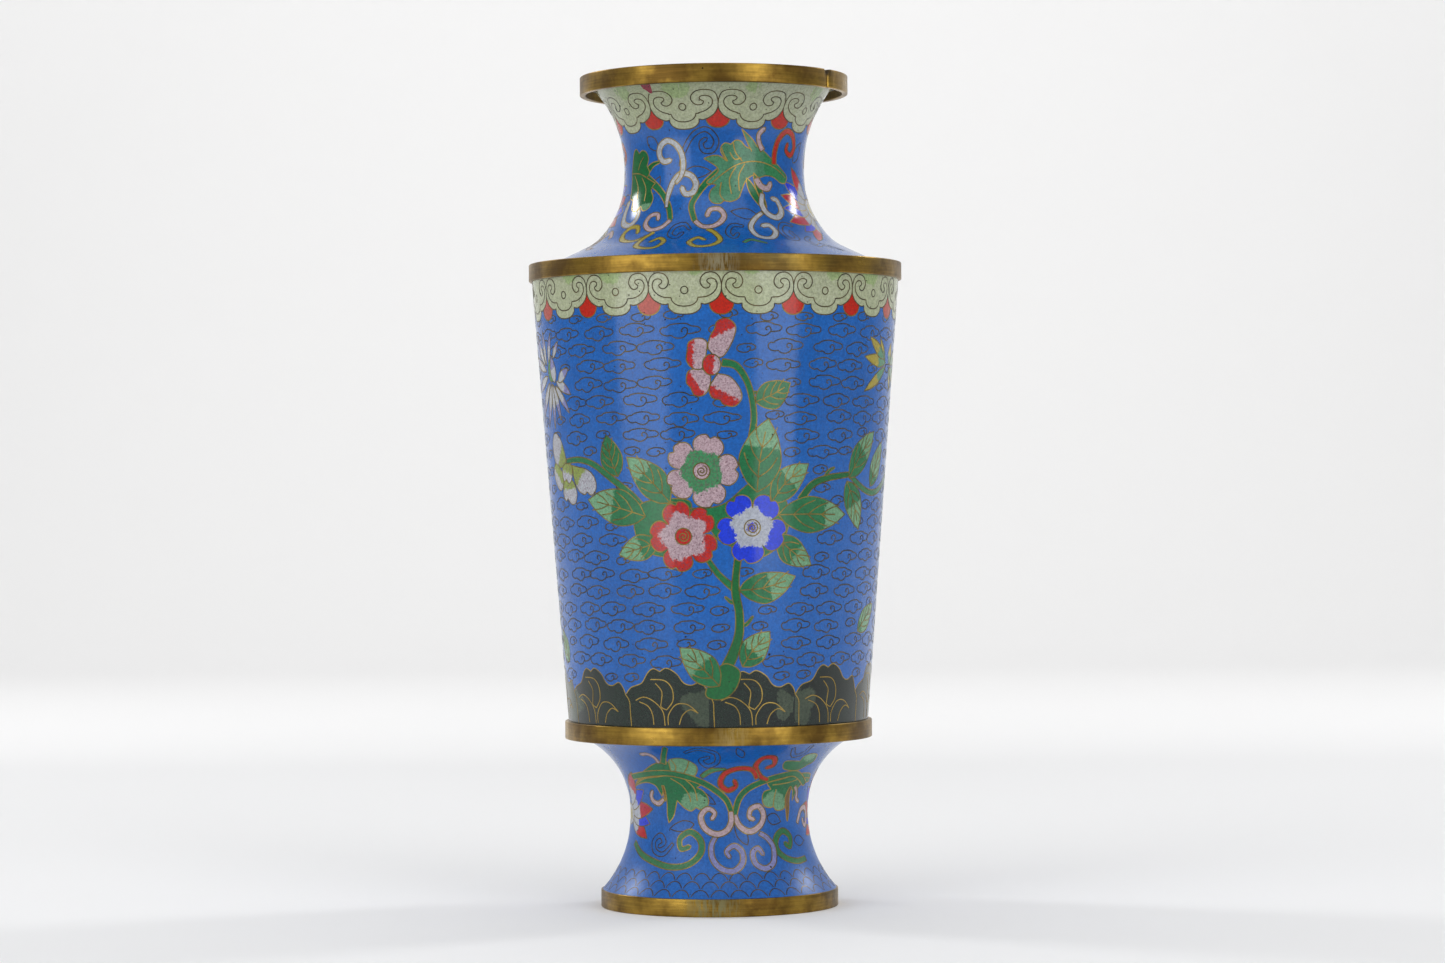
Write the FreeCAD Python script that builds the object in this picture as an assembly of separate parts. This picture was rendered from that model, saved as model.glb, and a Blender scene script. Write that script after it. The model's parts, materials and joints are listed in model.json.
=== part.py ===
"""A cloisonne vase: spun copper shells soldered to four brass rims, enamelled outside in wired cells
and lined inside.  Millimetres, +Z up, origin at the centre of the foot ring's flat underside, and the
flowering plum spray on the -Y side.  A motif is laid out by its bearing, in degrees to the right of
-Y as seen from outside, and its height Z."""
import FreeCAD, Part

import os
from math import asin, cos, degrees, hypot, radians, sin, sqrt

from FreeCAD import Vector

# ---- heights of the rims (mm) ----
HEIGHT = 254.0
FOOT_RING_TOP = 5.4
WAIST_RING_LOW, WAIST_RING_TOP = 51.6, 57.0
SHOULDER_RING_LOW, SHOULDER_RING_TOP = 191.4, 196.6
MOUTH_RIM_LOW = 248.4

# ---- outer radii (mm) ----
FOOT_RING_R = 36.4
WAIST_RING_R = 47.1
SHOULDER_RING_R = 57.2
MOUTH_RIM_R = 41.15
BODY_LOW_R, BODY_TOP_R = 45.9, 56.2
NECK_THROAT_R, FOOT_THROAT_R = 27.55, 27.2

# ---- the wall, from outside in (mm) ----
ENAMEL = 0.9
COPPER = 1.0
LINING = 0.4
WIRE = 0.42
PLATE = 1.6
MOUTH_PLATE = 1.8

# ---- the flares, as arcs that leave the throat upright: (centre height, radius) ----
NECK_UP = (226.0, 38.0)
NECK_DOWN = (224.0, 28.0)
NECK_SKIRT_R = 16.0
NECK_TURN_1, NECK_TURN_2 = radians(42), radians(65)
FOOT_UP = (29.5, 24.4)
FOOT_DOWN = (28.0, 34.0)

# ---- the repeating borders ----
MOUTH_LAPPETS, MOUTH_DROP_AT = 9, 2.5
SHOULDER_LAPPETS, SHOULDER_DROP_AT = 16, 2.0

TOOL_CLEARANCE = 5.0
BODY_SLOPE = (BODY_TOP_R - BODY_LOW_R) / (SHOULDER_RING_LOW - WAIST_RING_TOP)
BODY_LEAN = hypot(1.0, BODY_SLOPE)
NODES = {}


# ---------------------------------------------------------------- profiles
def point(r, z):
    return Vector(r, 0, z)


def arc(centre_r, centre_z, radius, start, end):
    """Part of a flare: the wall stands on the axis side of the centre, and the angle is up from level."""
    on = [point(centre_r - radius * cos(a), centre_z + radius * sin(a))
          for a in (start, (start + end) / 2, end)]
    return Part.Arc(*on).toShape()


def line(a, b):
    return Part.LineSegment(a, b).toShape()


def ends(edge):
    return edge.valueAt(edge.FirstParameter), edge.valueAt(edge.LastParameter)


def neck_path(depth):
    """The neck's profile, that far inside its outer face, from bottom to top."""
    up_z, up_r = NECK_UP
    low_z, low_r = NECK_DOWN
    skirt_z = low_z - low_r * sin(NECK_TURN_1) + NECK_SKIRT_R * sin(NECK_TURN_1)
    skirt_r = NECK_THROAT_R + low_r * (1 - cos(NECK_TURN_1)) + NECK_SKIRT_R * cos(NECK_TURN_1)
    skirt = arc(skirt_r, skirt_z, NECK_SKIRT_R + depth, -NECK_TURN_2, -NECK_TURN_1)
    first = arc(NECK_THROAT_R + low_r, low_z, low_r + depth, -NECK_TURN_1, 0)
    upper = arc(NECK_THROAT_R + up_r, up_z, up_r + depth, 0, radians(50))
    start = ends(skirt)[0]
    run = 14.0
    foot = point(start.x + run * sin(NECK_TURN_2), start.z - run * cos(NECK_TURN_2))
    return [line(foot, start), skirt, first, line(ends(first)[1], ends(upper)[0]), upper]


def foot_path(depth):
    """The foot's profile, that far inside its outer face, from bottom to top."""
    up_z, up_r = FOOT_UP
    low_z, low_r = FOOT_DOWN
    lower = arc(FOOT_THROAT_R + low_r, low_z, low_r + depth, -radians(50), 0)
    upper = arc(FOOT_THROAT_R + up_r, up_z, up_r + depth, 0, radians(72))
    return [lower, line(ends(lower)[1], ends(upper)[0]), upper]


def body_path(depth):
    """The body's straight profile, that far inside its outer face, a little over length."""
    low, top = WAIST_RING_LOW - 5, SHOULDER_RING_TOP + 5
    return [line(point(body_r(low) - depth * BODY_LEAN, low), point(body_r(top) - depth * BODY_LEAN, top))]


def body_r(z):
    return BODY_LOW_R + (z - WAIST_RING_TOP) * BODY_SLOPE


def neck_r(z):
    """The neck's outer radius at a height from the throat up, where the lappets are."""
    centre, radius = NECK_UP
    rise = max(z - centre, 0.0)
    return NECK_THROAT_R + radius - sqrt(radius ** 2 - rise ** 2)


def turned(points):
    """A ring: the closed outline of (r, z) corners turned about the axis."""
    corners = [point(r, z) for r, z in points]
    return Part.Face(Part.makePolygon(corners + corners[:1])).revolve(Vector(), Vector(0, 0, 1), 360)


def wall(path, outer, inner, low, high):
    """The wall between two depths of a profile, cut level at two heights."""
    out, back = path(outer), path(inner)
    cap_low = line(ends(back[0])[0], ends(out[0])[0])
    cap_high = line(ends(out[-1])[1], ends(back[-1])[1])
    outline = Part.Wire(Part.__sortEdges__(out + [cap_high, cap_low] + back))
    whole = Part.Face(outline).revolve(Vector(), Vector(0, 0, 1), 360)
    slab = Part.makeCylinder(2 * SHOULDER_RING_R, high - low, Vector(0, 0, low))
    return one_solid(whole.common(slab))


def one_solid(shape):
    return Part.makeSolid(shape.Shells[0]) if not shape.Solids else shape.Solids[0]


# ---------------------------------------------------------------- cells laid on the wall
def chain(steps, radius, at):
    """A closed outline on the plane that touches the wall at one bearing.  Each step is a corner
    (bearing, z), or a corner and the point that its curve passes through on the way there."""
    def on_plane(place):
        bearing, z = place
        return Vector(radius(z) * sin(radians(bearing - at)), 0, z)

    corners = [on_plane(s[-2:]) for s in steps]
    edges = []
    for i, step in enumerate(steps):
        start, end = corners[i - 1], corners[i]
        if (end - start).Length < 1e-6:
            continue
        if len(step) == 4:
            edges.append(Part.Arc(start, on_plane(step[:2]), end).toShape())
        else:
            edges.append(line(start, end))
    return Part.Wire(edges)


def prism(wire, grow, at):
    """The outline grown by an amount and driven towards the axis, as a cutting tool."""
    grown = wire.makeOffset2D(grow, 0) if grow else wire
    face = Part.Face(grown)
    tool = face.extrude(Vector(0, SHOULDER_RING_R, 0))
    tool.translate(Vector(0, -SHOULDER_RING_R - TOOL_CLEARANCE, 0))
    return tool.rotate(Vector(), Vector(0, 0, 1), at)


def around(solids, count):
    """The solids, repeated evenly round the axis."""
    out = []
    for i in range(count):
        for s in solids:
            copy = s.copy()
            copy.rotate(Vector(), Vector(0, 0, 1), 360.0 * i / count)
            out.append(copy)
    return out


def overlap(a, b):
    """Whether two footprints, each (bearing, half width, lowest z, highest z), may touch."""
    apart = abs((a[0] - b[0] + 180.0) % 360.0 - 180.0)
    return apart < a[1] + b[1] and a[2] < b[3] and b[2] < a[3]


class Wall:
    """An enamelled wall, and what has been laid on it so far."""

    def __init__(self, path, radius, low, high):
        self.radius = radius
        self.enamel = wall(path, 0.0, ENAMEL, low, high)
        self.taken = []

    def lay(self, steps, at, repeat=1):
        """Lays one wired cell, under what is there already.  Returns its enamel and its wire, which is
        ground level with it."""
        outline = chain(steps, self.radius, at)
        outer = prism(outline, WIRE / 2, at)
        inner = prism(outline, -WIRE / 2, at)
        place = self.footprint(outline.BoundBox, at)
        near = [solid for other, solid in self.taken if overlap(place, other)]
        base = self.enamel.common(outer)
        if near:
            base = base.cut(near)
        for i, solid in enumerate(around(base.Solids, repeat)):
            turned_by = 360.0 / repeat * (i // len(base.Solids))
            self.taken.append(((place[0] + turned_by,) + place[1:], solid))
        return around(base.common(inner).Solids, repeat), around(base.cut(inner).Solids, repeat)

    def footprint(self, box, at):
        """An outline's (bearing, half width, lowest z, highest z), with a little to spare."""
        radius = self.radius((box.ZMin + box.ZMax) / 2)
        middle = at + degrees((box.XMin + box.XMax) / 2 / radius)
        half = degrees(asin(min((box.XLength / 2 + WIRE) / radius, 1.0)))
        return middle, half * 1.15 + 0.5, box.ZMin - WIRE, box.ZMax + WIRE

    def ground(self):
        """What is left of the enamel round the cells."""
        return self.enamel.cut([solid for place, solid in self.taken])


def keep(name, shapes):
    """Files solids under a node's name.  Specks that the cuts leave are dropped."""
    solids = [s for shape in shapes for s in shape.Solids if s.Volume > 0.02]
    NODES.setdefault(name, []).extend(solids)


# ---------------------------------------------------------------- motifs
def lappet(centre, half, top, crown, side, waist, notch, tip):
    """A ruyi-headed lappet that hangs from a rim: curled shoulders over a rounded middle lobe.  It takes
    the half width of its share of the border, and the heights of its turning points from the top."""
    curl, bulge, tuck, cleft = 0.62 * half, 0.90 * half, 0.74 * half, 0.42 * half
    return [(centre - curl, top),
            (centre - curl, crown),
            (centre - bulge, side, centre - tuck, waist),
            (centre - 0.5 * (tuck + cleft), 0.35 * waist + 0.65 * notch, centre - cleft, notch),
            (centre, tip, centre + cleft, notch),
            (centre + 0.5 * (tuck + cleft), 0.35 * waist + 0.65 * notch, centre + tuck, waist),
            (centre + bulge, side, centre + curl, crown),
            (centre + curl, top)]


def drop(at, width, top, low):
    """A red bead that hangs between two lappets."""
    middle = low + 0.42 * (top - low)
    return [(at, top),
            (at - 0.72 * width, top - 0.25 * (top - low), at - width, middle),
            (at, low, at + width, middle),
            (at + 0.72 * width, top - 0.25 * (top - low), at, top)]


def blade(base, tip, belly):
    """A leaf: two curves from its base to its tip, each bowed out by the belly, in degrees and mm."""
    (b0, z0), (b1, z1) = base, tip
    bow_b, bow_z = belly
    mid_b, mid_z = (b0 + b1) / 2, (z0 + z1) / 2
    return [(mid_b + bow_b, mid_z + bow_z, b1, z1), (mid_b - bow_b, mid_z - bow_z, b0, z0)]


def disc(centre, half_width, half_height):
    b, z = centre
    return [(b, z + half_height, b + half_width, z), (b, z - half_height, b - half_width, z)]


def petals(centre, reach, turn, count=5):
    """A plum blossom's petals, each a rounded lobe that starts at the flower's eye."""
    b, z = centre
    wide = reach / radians(1) / body_r(z)
    made = []
    for i in range(count):
        a = radians(turn + 360.0 * i / count)
        half = radians(0.40 * 360.0 / count)

        def at(angle, share):
            return b + wide * share * sin(angle), z + reach * share * cos(angle)

        made.append([at(a - half, 0.62), (*at(a - 0.8 * half, 0.95), *at(a, 1.0)),
                     (*at(a + 0.8 * half, 0.95), *at(a + half, 0.62)), at(a, 0.16)])
    return made


def band(points, width):
    """A stem: a strip of even width along a few points, rounded by its corners' curves."""
    left, right = [], []
    for i, (b, z) in enumerate(points):
        b0, z0 = points[max(i - 1, 0)]
        b1, z1 = points[min(i + 1, len(points) - 1)]
        scale = radians(1) * body_r(z)
        run = hypot((b1 - b0) * scale, z1 - z0)
        nb, nz = -(z1 - z0) / run / scale, (b1 - b0) * scale / run
        left.append((b + nb * width / 2, z + nz * width / 2))
        right.append((b - nb * width / 2, z - nz * width / 2))
    return left + right[::-1]


# ---------------------------------------------------------------- the metal
def metal():
    low, high = WAIST_RING_LOW + PLATE, SHOULDER_RING_TOP - PLATE
    mouth_under = HEIGHT - MOUTH_PLATE
    inside = ENAMEL + COPPER
    keep("foot_ring", [turned([(32.6, 0), (FOOT_RING_R - 0.5, 0), (FOOT_RING_R, 0.5),
                               (FOOT_RING_R, FOOT_RING_TOP - 0.4), (FOOT_RING_R - 0.4, FOOT_RING_TOP),
                               (32.6, FOOT_RING_TOP)])])
    keep("waist_ring", [turned([(36.0, WAIST_RING_LOW), (WAIST_RING_R - 0.5, WAIST_RING_LOW),
                                (WAIST_RING_R, WAIST_RING_LOW + 0.5), (WAIST_RING_R, WAIST_RING_TOP - 0.4),
                                (WAIST_RING_R - 0.4, WAIST_RING_TOP), (45.05, WAIST_RING_TOP),
                                (45.05, low), (36.0, low)])])
    keep("shoulder_ring", [turned([(45.5, high), (55.7, high), (55.7, SHOULDER_RING_LOW),
                                   (SHOULDER_RING_R - 0.4, SHOULDER_RING_LOW),
                                   (SHOULDER_RING_R, SHOULDER_RING_LOW + 0.4),
                                   (SHOULDER_RING_R, SHOULDER_RING_TOP - 0.5),
                                   (SHOULDER_RING_R - 0.5, SHOULDER_RING_TOP), (45.5, SHOULDER_RING_TOP)])])
    keep("mouth_rim", [turned([(35.2, mouth_under), (39.4, mouth_under), (39.4, MOUTH_RIM_LOW),
                               (MOUTH_RIM_R - 0.4, MOUTH_RIM_LOW), (MOUTH_RIM_R, MOUTH_RIM_LOW + 0.4),
                               (MOUTH_RIM_R, HEIGHT - 0.6), (MOUTH_RIM_R - 0.6, HEIGHT),
                               (35.7, HEIGHT), (35.2, HEIGHT - 0.5)])])
    keep("foot_shell", [wall(foot_path, ENAMEL, inside, FOOT_RING_TOP, WAIST_RING_LOW)])
    keep("body_shell", [wall(body_path, ENAMEL, inside, low, high)])
    keep("neck_shell", [wall(neck_path, ENAMEL, inside, SHOULDER_RING_TOP, mouth_under)])
    floor_r = body_r(low) - inside * BODY_LEAN - 0.02
    keep("body_floor", [Part.makeCylinder(floor_r, 1.2, Vector(0, 0, low))])
    solder(floor_r, low, high, mouth_under)


def solder(floor_r, low, high, mouth_under):
    """The fillets that join shell to rim, each a turned triangle in the corner that it fills."""
    inner_top = body_r(high) - (ENAMEL + COPPER) * BODY_LEAN
    keep("floor_solder", [turned([(floor_r, low + 1.2), (floor_r - 1.4, low + 1.2), (floor_r, low + 2.6)])])
    keep("shoulder_solder", [turned([(inner_top - 0.15, high), (inner_top - 1.5, high),
                                     (inner_top - 0.15, high - 1.4)])])
    keep("waist_solder", [turned([(36.1, WAIST_RING_LOW), (36.7, WAIST_RING_LOW), (36.1, WAIST_RING_LOW - 0.5)])])
    keep("foot_solder", [turned([(32.7, FOOT_RING_TOP), (33.2, FOOT_RING_TOP), (32.7, FOOT_RING_TOP + 0.5)])])
    keep("mouth_solder", [turned([(38.3, mouth_under), (39.4, mouth_under), (39.4, mouth_under - 1.1)])])


def linings():
    """The plain enamel inside, stopped short of the soldered seams."""
    inside, face = ENAMEL + COPPER, ENAMEL + COPPER + LINING
    floor_top = WAIST_RING_LOW + PLATE + 1.2
    keep("foot_lining", [wall(foot_path, inside, face, FOOT_RING_TOP + 2.0, WAIST_RING_LOW - 2.0)])
    keep("body_lining", [wall(body_path, inside, face, floor_top + 2.0, SHOULDER_RING_TOP - PLATE - 2.0)])
    keep("neck_lining", [wall(neck_path, inside, face, SHOULDER_RING_TOP + 2.0, HEIGHT - MOUTH_PLATE - 1.0)])
    keep("floor_lining", [Part.makeCylinder(41.5, LINING, Vector(0, 0, floor_top))])


# ---------------------------------------------------------------- the enamelled outside
def foot_enamel():
    keep("foot_ground_enamel", [wall(foot_path, 0.0, ENAMEL, FOOT_RING_TOP, WAIST_RING_LOW)])


def neck_enamel():
    neck = Wall(neck_path, neck_r, SHOULDER_RING_TOP, HEIGHT - MOUTH_PLATE)
    half = 180.0 / MOUTH_LAPPETS
    at = MOUTH_DROP_AT + half
    cells, strips = neck.lay(lappet(at, half, HEIGHT, 247.0, 244.3, 241.8, 239.5, 235.4), at, MOUTH_LAPPETS)
    keep("mouth_lappets", cells)
    keep("mouth_lappet_wires", strips)
    cells, strips = neck.lay(drop(MOUTH_DROP_AT, 5.6, 243.0, 236.2), MOUTH_DROP_AT, MOUTH_LAPPETS)
    keep("mouth_drops", cells)
    keep("mouth_drop_wires", strips)
    keep("neck_ground_enamel", [neck.ground()])


def body_enamel():
    body = Wall(body_path, body_r, WAIST_RING_TOP, SHOULDER_RING_LOW)
    half = 180.0 / SHOULDER_LAPPETS
    at = SHOULDER_DROP_AT + half
    outline = lappet(at, half, SHOULDER_RING_TOP, 190.8, 188.3, 185.4, 182.3, 178.9)
    cells, strips = body.lay(outline, at, SHOULDER_LAPPETS)
    keep("shoulder_lappets", cells)
    keep("shoulder_lappet_wires", strips)
    cells, strips = body.lay(drop(SHOULDER_DROP_AT, 3.3, 187.0, 179.6), SHOULDER_DROP_AT, SHOULDER_LAPPETS)
    keep("shoulder_drops", cells)
    keep("shoulder_drop_wires", strips)
    rocks(body)
    blossoms(body)
    keep("body_ground_enamel", [body.ground()])


def rocks(body):
    """Dark rocks along the foot of the body, each with a notched crown, on an even pitch."""
    pitch = 360.0 / 11
    at = 13.0
    low = WAIST_RING_TOP
    half = pitch / 2 - 0.6
    steps = [(at - half, low - 2),
             (at - half, 67.0),
             (at - 0.62 * half, 68.0, at - 0.40 * half, 71.5),
             (at - 0.25 * half, 74.0, at - 0.05 * half, 73.0),
             (at + 0.18 * half, 74.0, at + 0.36 * half, 71.5),
             (at + 0.48 * half, 69.4, at + 0.60 * half, 69.3),
             (at + 0.80 * half, 69.6, at + half, 67.0),
             (at + half, low - 2)]
    cells, strips = body.lay(steps, at, 11)
    keep("rocks", cells)
    keep("rock_wires", strips)


BLOSSOMS = (("pink_blossom", (-4.7, 132.7), 10.6, 18.0),
            ("red_blossom", (-11.3, 113.6), 10.2, -20.0),
            ("blue_blossom", (12.0, 116.2), 10.4, 25.0))
LEAVES = (((12.5, 126), (16.5, 148), (6.6, -0.4)), ((19, 121), (32, 134.5), (-3.6, 3.6)),
          ((27, 119.6), (50, 119.6), (0, 5.2)), ((20, 113), (34, 105.2), (2.6, 3.4)),
          ((9, 96.3), (28, 102), (-1.6, 5.0)), ((-17, 124), (-29.5, 137), (3.4, 3.6)),
          ((-25, 121), (-48, 125.5), (0.8, 5.4)), ((-22, 114.6), (-35, 107.8), (-2.4, 3.4)),
          ((-38.5, 132.5), (-35.5, 143.6), (4.6, -0.6)), ((12.8, 153.4), (23, 159.6), (-2.6, 3.6)),
          ((2.5, 68.5), (-13, 80.8), (4.2, 3.4)), ((9.5, 74.2), (18.5, 85.2), (-4.4, 2.4)),
          ((50, 131), (64, 145), (-4.4, 3.2)), ((48.5, 130), (57, 115), (4.4, 1.6)))
STEMS = (([(0.8, 69.5), (4.8, 78), (6.9, 90), (6.4, 97), (6.8, 106)], 2.6),
         ([(5.4, 98.5), (2.5, 101.5), (-2.6, 106)], 1.5),
         ([(11.8, 146), (11.6, 154), (9, 160.5), (3, 165)], 1.5),
         ([(-60, 135.6), (-50, 136), (-42, 133.2), (-34, 129), (-28, 124)], 1.4),
         ([(30, 129), (40, 130.6), (48, 131.2)], 1.3))


def blossoms(body):
    """The plum spray, laid from the front: flowers, then leaves, then stems."""
    for name, centre, reach, turn in BLOSSOMS:
        eye = 2.4
        wide = eye / radians(1) / body_r(centre[1])
        cells, strips = body.lay(disc(centre, wide, eye), centre[0])
        keep("blossom_eyes", cells)
        keep("blossom_wires", strips)
        for petal in petals(centre, reach, turn):
            cells, strips = body.lay(petal, centre[0])
            keep(name, cells)
            keep("blossom_wires", strips)
    for base, tip, belly in LEAVES:
        cells, strips = body.lay(blade(base, tip, belly), (base[0] + tip[0]) / 2)
        keep("leaves", cells)
        keep("leaf_wires", strips)
    for points, width in STEMS:
        cells, strips = body.lay(band(points, width), points[len(points) // 2][0])
        keep("stems", cells)
        keep("stem_wires", strips)


def build():
    metal()
    linings()
    foot_enamel()
    neck_enamel()
    body_enamel()


def export():
    os.makedirs("parts", exist_ok=True)
    for name, solids in sorted(NODES.items()):
        shape = solids[0] if len(solids) == 1 else Part.makeCompound(solids)
        shape.exportStep("parts/" + name + ".step")
        print(f"{name:24s} {len(solids):4d} solids {shape.Volume:10.1f} mm3 valid={shape.isValid()}")


build()
export()
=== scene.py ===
"""A cloisonne vase: wired enamel laid over three copper walls, held by four brass rims.

Each wall is unrolled into a sheet of bearings (degrees to the viewer's right of -Y) and heights (mm).
Cells are laid on it, the front ones first, the sheet is cut into triangles along their outlines, and
each piece of enamel is then wrapped on the wall as a closed shell, with its wires a little proud."""
import json
from math import ceil, cos, degrees, exp, hypot, pi, radians, sin
from random import Random

import bpy
import numpy as np
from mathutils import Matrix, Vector
from mathutils.geometry import delaunay_2d_cdt


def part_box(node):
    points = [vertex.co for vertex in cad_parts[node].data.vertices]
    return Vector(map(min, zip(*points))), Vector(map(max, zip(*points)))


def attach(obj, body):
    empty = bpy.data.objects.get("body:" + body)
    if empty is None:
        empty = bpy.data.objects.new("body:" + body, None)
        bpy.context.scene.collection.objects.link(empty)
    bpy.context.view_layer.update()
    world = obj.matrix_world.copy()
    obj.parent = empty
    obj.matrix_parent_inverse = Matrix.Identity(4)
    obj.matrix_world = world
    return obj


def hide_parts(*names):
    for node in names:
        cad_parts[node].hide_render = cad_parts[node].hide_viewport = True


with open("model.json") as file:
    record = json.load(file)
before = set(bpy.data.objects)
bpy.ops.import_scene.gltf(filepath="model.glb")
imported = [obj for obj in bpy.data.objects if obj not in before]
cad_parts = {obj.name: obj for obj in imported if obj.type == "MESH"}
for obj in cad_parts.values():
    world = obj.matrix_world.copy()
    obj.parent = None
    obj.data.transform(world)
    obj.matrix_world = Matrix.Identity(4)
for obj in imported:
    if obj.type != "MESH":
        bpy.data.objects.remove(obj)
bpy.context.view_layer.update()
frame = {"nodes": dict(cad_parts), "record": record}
MM = 0.001


def top_of(node):
    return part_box(node)[1][2] / MM


def foot_of(node):
    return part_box(node)[0][2] / MM


def radius_of(node):
    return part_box(node)[1][0] / MM


# ---- heights and radii, mm ----
HEIGHT = top_of("mouth_rim")
FOOT_LOW, FOOT_HIGH = top_of("foot_ring"), foot_of("waist_ring")
BODY_LOW, BODY_HIGH = top_of("waist_ring"), foot_of("shoulder_ring")
PLATE, MOUTH_PLATE = 1.6, 1.8
NECK_LOW, NECK_HIGH = top_of("shoulder_ring"), HEIGHT - MOUTH_PLATE
BODY_LOW_R, BODY_HIGH_R = 45.9, 56.2
NECK_THROAT_R, FOOT_THROAT_R = 27.55, 27.2
ENAMEL = 0.9
WIRE, WIRE_PROUD, WIRE_DEEP = 0.34, 0.03, 0.3

# ---- the flares, as arcs that leave the throat upright: (height where it starts, radius) ----
NECK_UP, NECK_DOWN = (226, 38), (224, 28)
NECK_SKIRT_R = 16
NECK_TURN_1, NECK_TURN_2 = radians(42), radians(65)
FOOT_UP, FOOT_DOWN = (29.5, 24.4), (28, 34)

# ---- bearings: where the sheets start and end, and the crack in the mouth rim ----
SEAM = -168.0
CRACK = 58.3


def add_object(name, data):
    made = bpy.data.objects.new(name, data)
    bpy.context.scene.collection.objects.link(made)
    return made


# ---------------------------------------------------------------- the walls
def flare(throat, curve, rise):
    """A flare's radius at a rise from the throat, leaving it upright on an arc."""
    return throat + curve - np.sqrt(curve ** 2 - np.minimum(rise, curve * 0.999) ** 2)


def neck_radius(z):
    """Cone, tight arc, long arc, short straight throat and upper arc, from the shoulder up."""
    z = np.asarray(z, float)
    up_z, up_r = NECK_UP
    low_z, low_r = NECK_DOWN
    arc_z = low_z - (low_r - NECK_SKIRT_R) * sin(NECK_TURN_1)
    arc_r = NECK_THROAT_R + low_r * (1 - cos(NECK_TURN_1)) + NECK_SKIRT_R * cos(NECK_TURN_1)
    cone_z = arc_z - NECK_SKIRT_R * sin(NECK_TURN_2)
    cone_r = arc_r - NECK_SKIRT_R * cos(NECK_TURN_2)
    cone = cone_r + (cone_z - z) * sin(NECK_TURN_2) / cos(NECK_TURN_2)
    skirt = arc_r - np.sqrt(np.maximum(NECK_SKIRT_R ** 2 - (arc_z - z) ** 2, 0))
    lower = np.where(z < cone_z, cone, skirt)
    lower = np.where(z > low_z - low_r * sin(NECK_TURN_1), flare(NECK_THROAT_R, low_r, low_z - z), lower)
    lower = np.where(z > low_z, NECK_THROAT_R, lower)
    return np.where(z > up_z, flare(NECK_THROAT_R, up_r, z - up_z), lower)


def body_radius(z):
    above = np.asarray(z, float) - BODY_LOW
    return BODY_LOW_R + above * (BODY_HIGH_R - BODY_LOW_R) / (BODY_HIGH - BODY_LOW)


def foot_radius(z):
    z = np.asarray(z, float)
    up_z, up_r = FOOT_UP
    low_z, low_r = FOOT_DOWN
    lower = np.where(z > low_z, FOOT_THROAT_R, flare(FOOT_THROAT_R, low_r, low_z - z))
    return np.where(z > up_z, flare(FOOT_THROAT_R, up_r, z - up_z), lower)


class Wall:
    """One unrolled band of the vase, and the cells and wires laid on it."""

    def __init__(self, name, radius, low, high, grid):
        self.name, self.radius, self.low, self.high, self.grid = name, radius, low, high, grid
        self.scale = float(radius((low + high) / 2)) * pi / 180
        self.cells = []
        self.wires = {}

    def slope(self, z):
        return (self.radius(z + 0.01) - self.radius(z - 0.01)) / 0.02

    def metric(self, z):
        """Millimetres on the surface for each degree of bearing, and for each millimetre of height."""
        return self.radius(z) * pi / 180, np.sqrt(1 + self.slope(z) ** 2)

    def place(self, a, z, proud=0.0):
        """Points and outward normals on the wall, in metres."""
        a, r, s = np.radians(a), self.radius(z), self.slope(z)
        level = 1 / np.sqrt(1 + s ** 2)
        normal = np.stack([np.sin(a) * level, -np.cos(a) * level, -s * level], axis=-1)
        point = np.stack([r * np.sin(a), -r * np.cos(a), z + 0 * a], axis=-1)
        return (point + normal * proud) * MM, normal

    def offset(self, centre, right, up):
        """The place that is some millimetres right of and above another, along the surface."""
        a, z = centre
        across, along = self.metric(z)
        return a + right / across, z + up / along

    def lay(self, outline, piece, paint, wire=None):
        """Lays a cell behind those already there.  The wire runs round it, and has its piece's name."""
        outline = np.asarray(outline, float)
        if wire:
            self.draw(outline, wire, closed=True)
        self.cells.append((outline, piece, paint))

    def draw(self, line, wire, closed=False, width=WIRE):
        """Lays a wire behind the cells already there."""
        line = np.asarray(line, float)
        if closed:
            line = np.vstack([line, line[:1]])
        for part in self.uncovered(line):
            self.wires.setdefault(wire, []).append((part, width))

    def uncovered(self, line):
        hidden = np.zeros(len(line), bool)
        for outline, *_ in self.cells:
            hidden |= inside(line, outline)
        hidden |= (line[:, 1] < self.low) | (line[:, 1] > self.high)
        parts, start = [], None
        for i, gone in enumerate(list(hidden) + [True]):
            if not gone and start is None:
                start = i
            if gone and start is not None:
                if i - start > 1:
                    parts.append(line[start:i])
                start = None
        return parts


def inside(points, outline):
    """Which points a closed outline holds, on any turn of the bearing."""
    points, out = np.asarray(points, float), np.zeros(len(points), bool)
    low, high = outline.min(axis=0), outline.max(axis=0)
    for turn in (-360, 0, 360):
        p = points + (turn, 0)
        near = ((p > low) & (p < high)).all(axis=1)
        if near.any():
            a, b = outline, np.roll(outline, -1, axis=0)
            px, py = p[near, 0][:, None], p[near, 1][:, None]
            up = (a[:, 1] <= py) & (b[:, 1] > py)
            down = (a[:, 1] > py) & (b[:, 1] <= py)
            rise = np.where(b[:, 1] == a[:, 1], 1e-12, b[:, 1] - a[:, 1])
            right = px < (b[:, 0] - a[:, 0]) * (py - a[:, 1]) / rise + a[:, 0]
            out[near] |= ((up & right).sum(axis=1) - (down & right).sum(axis=1)) != 0
    return out


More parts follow.
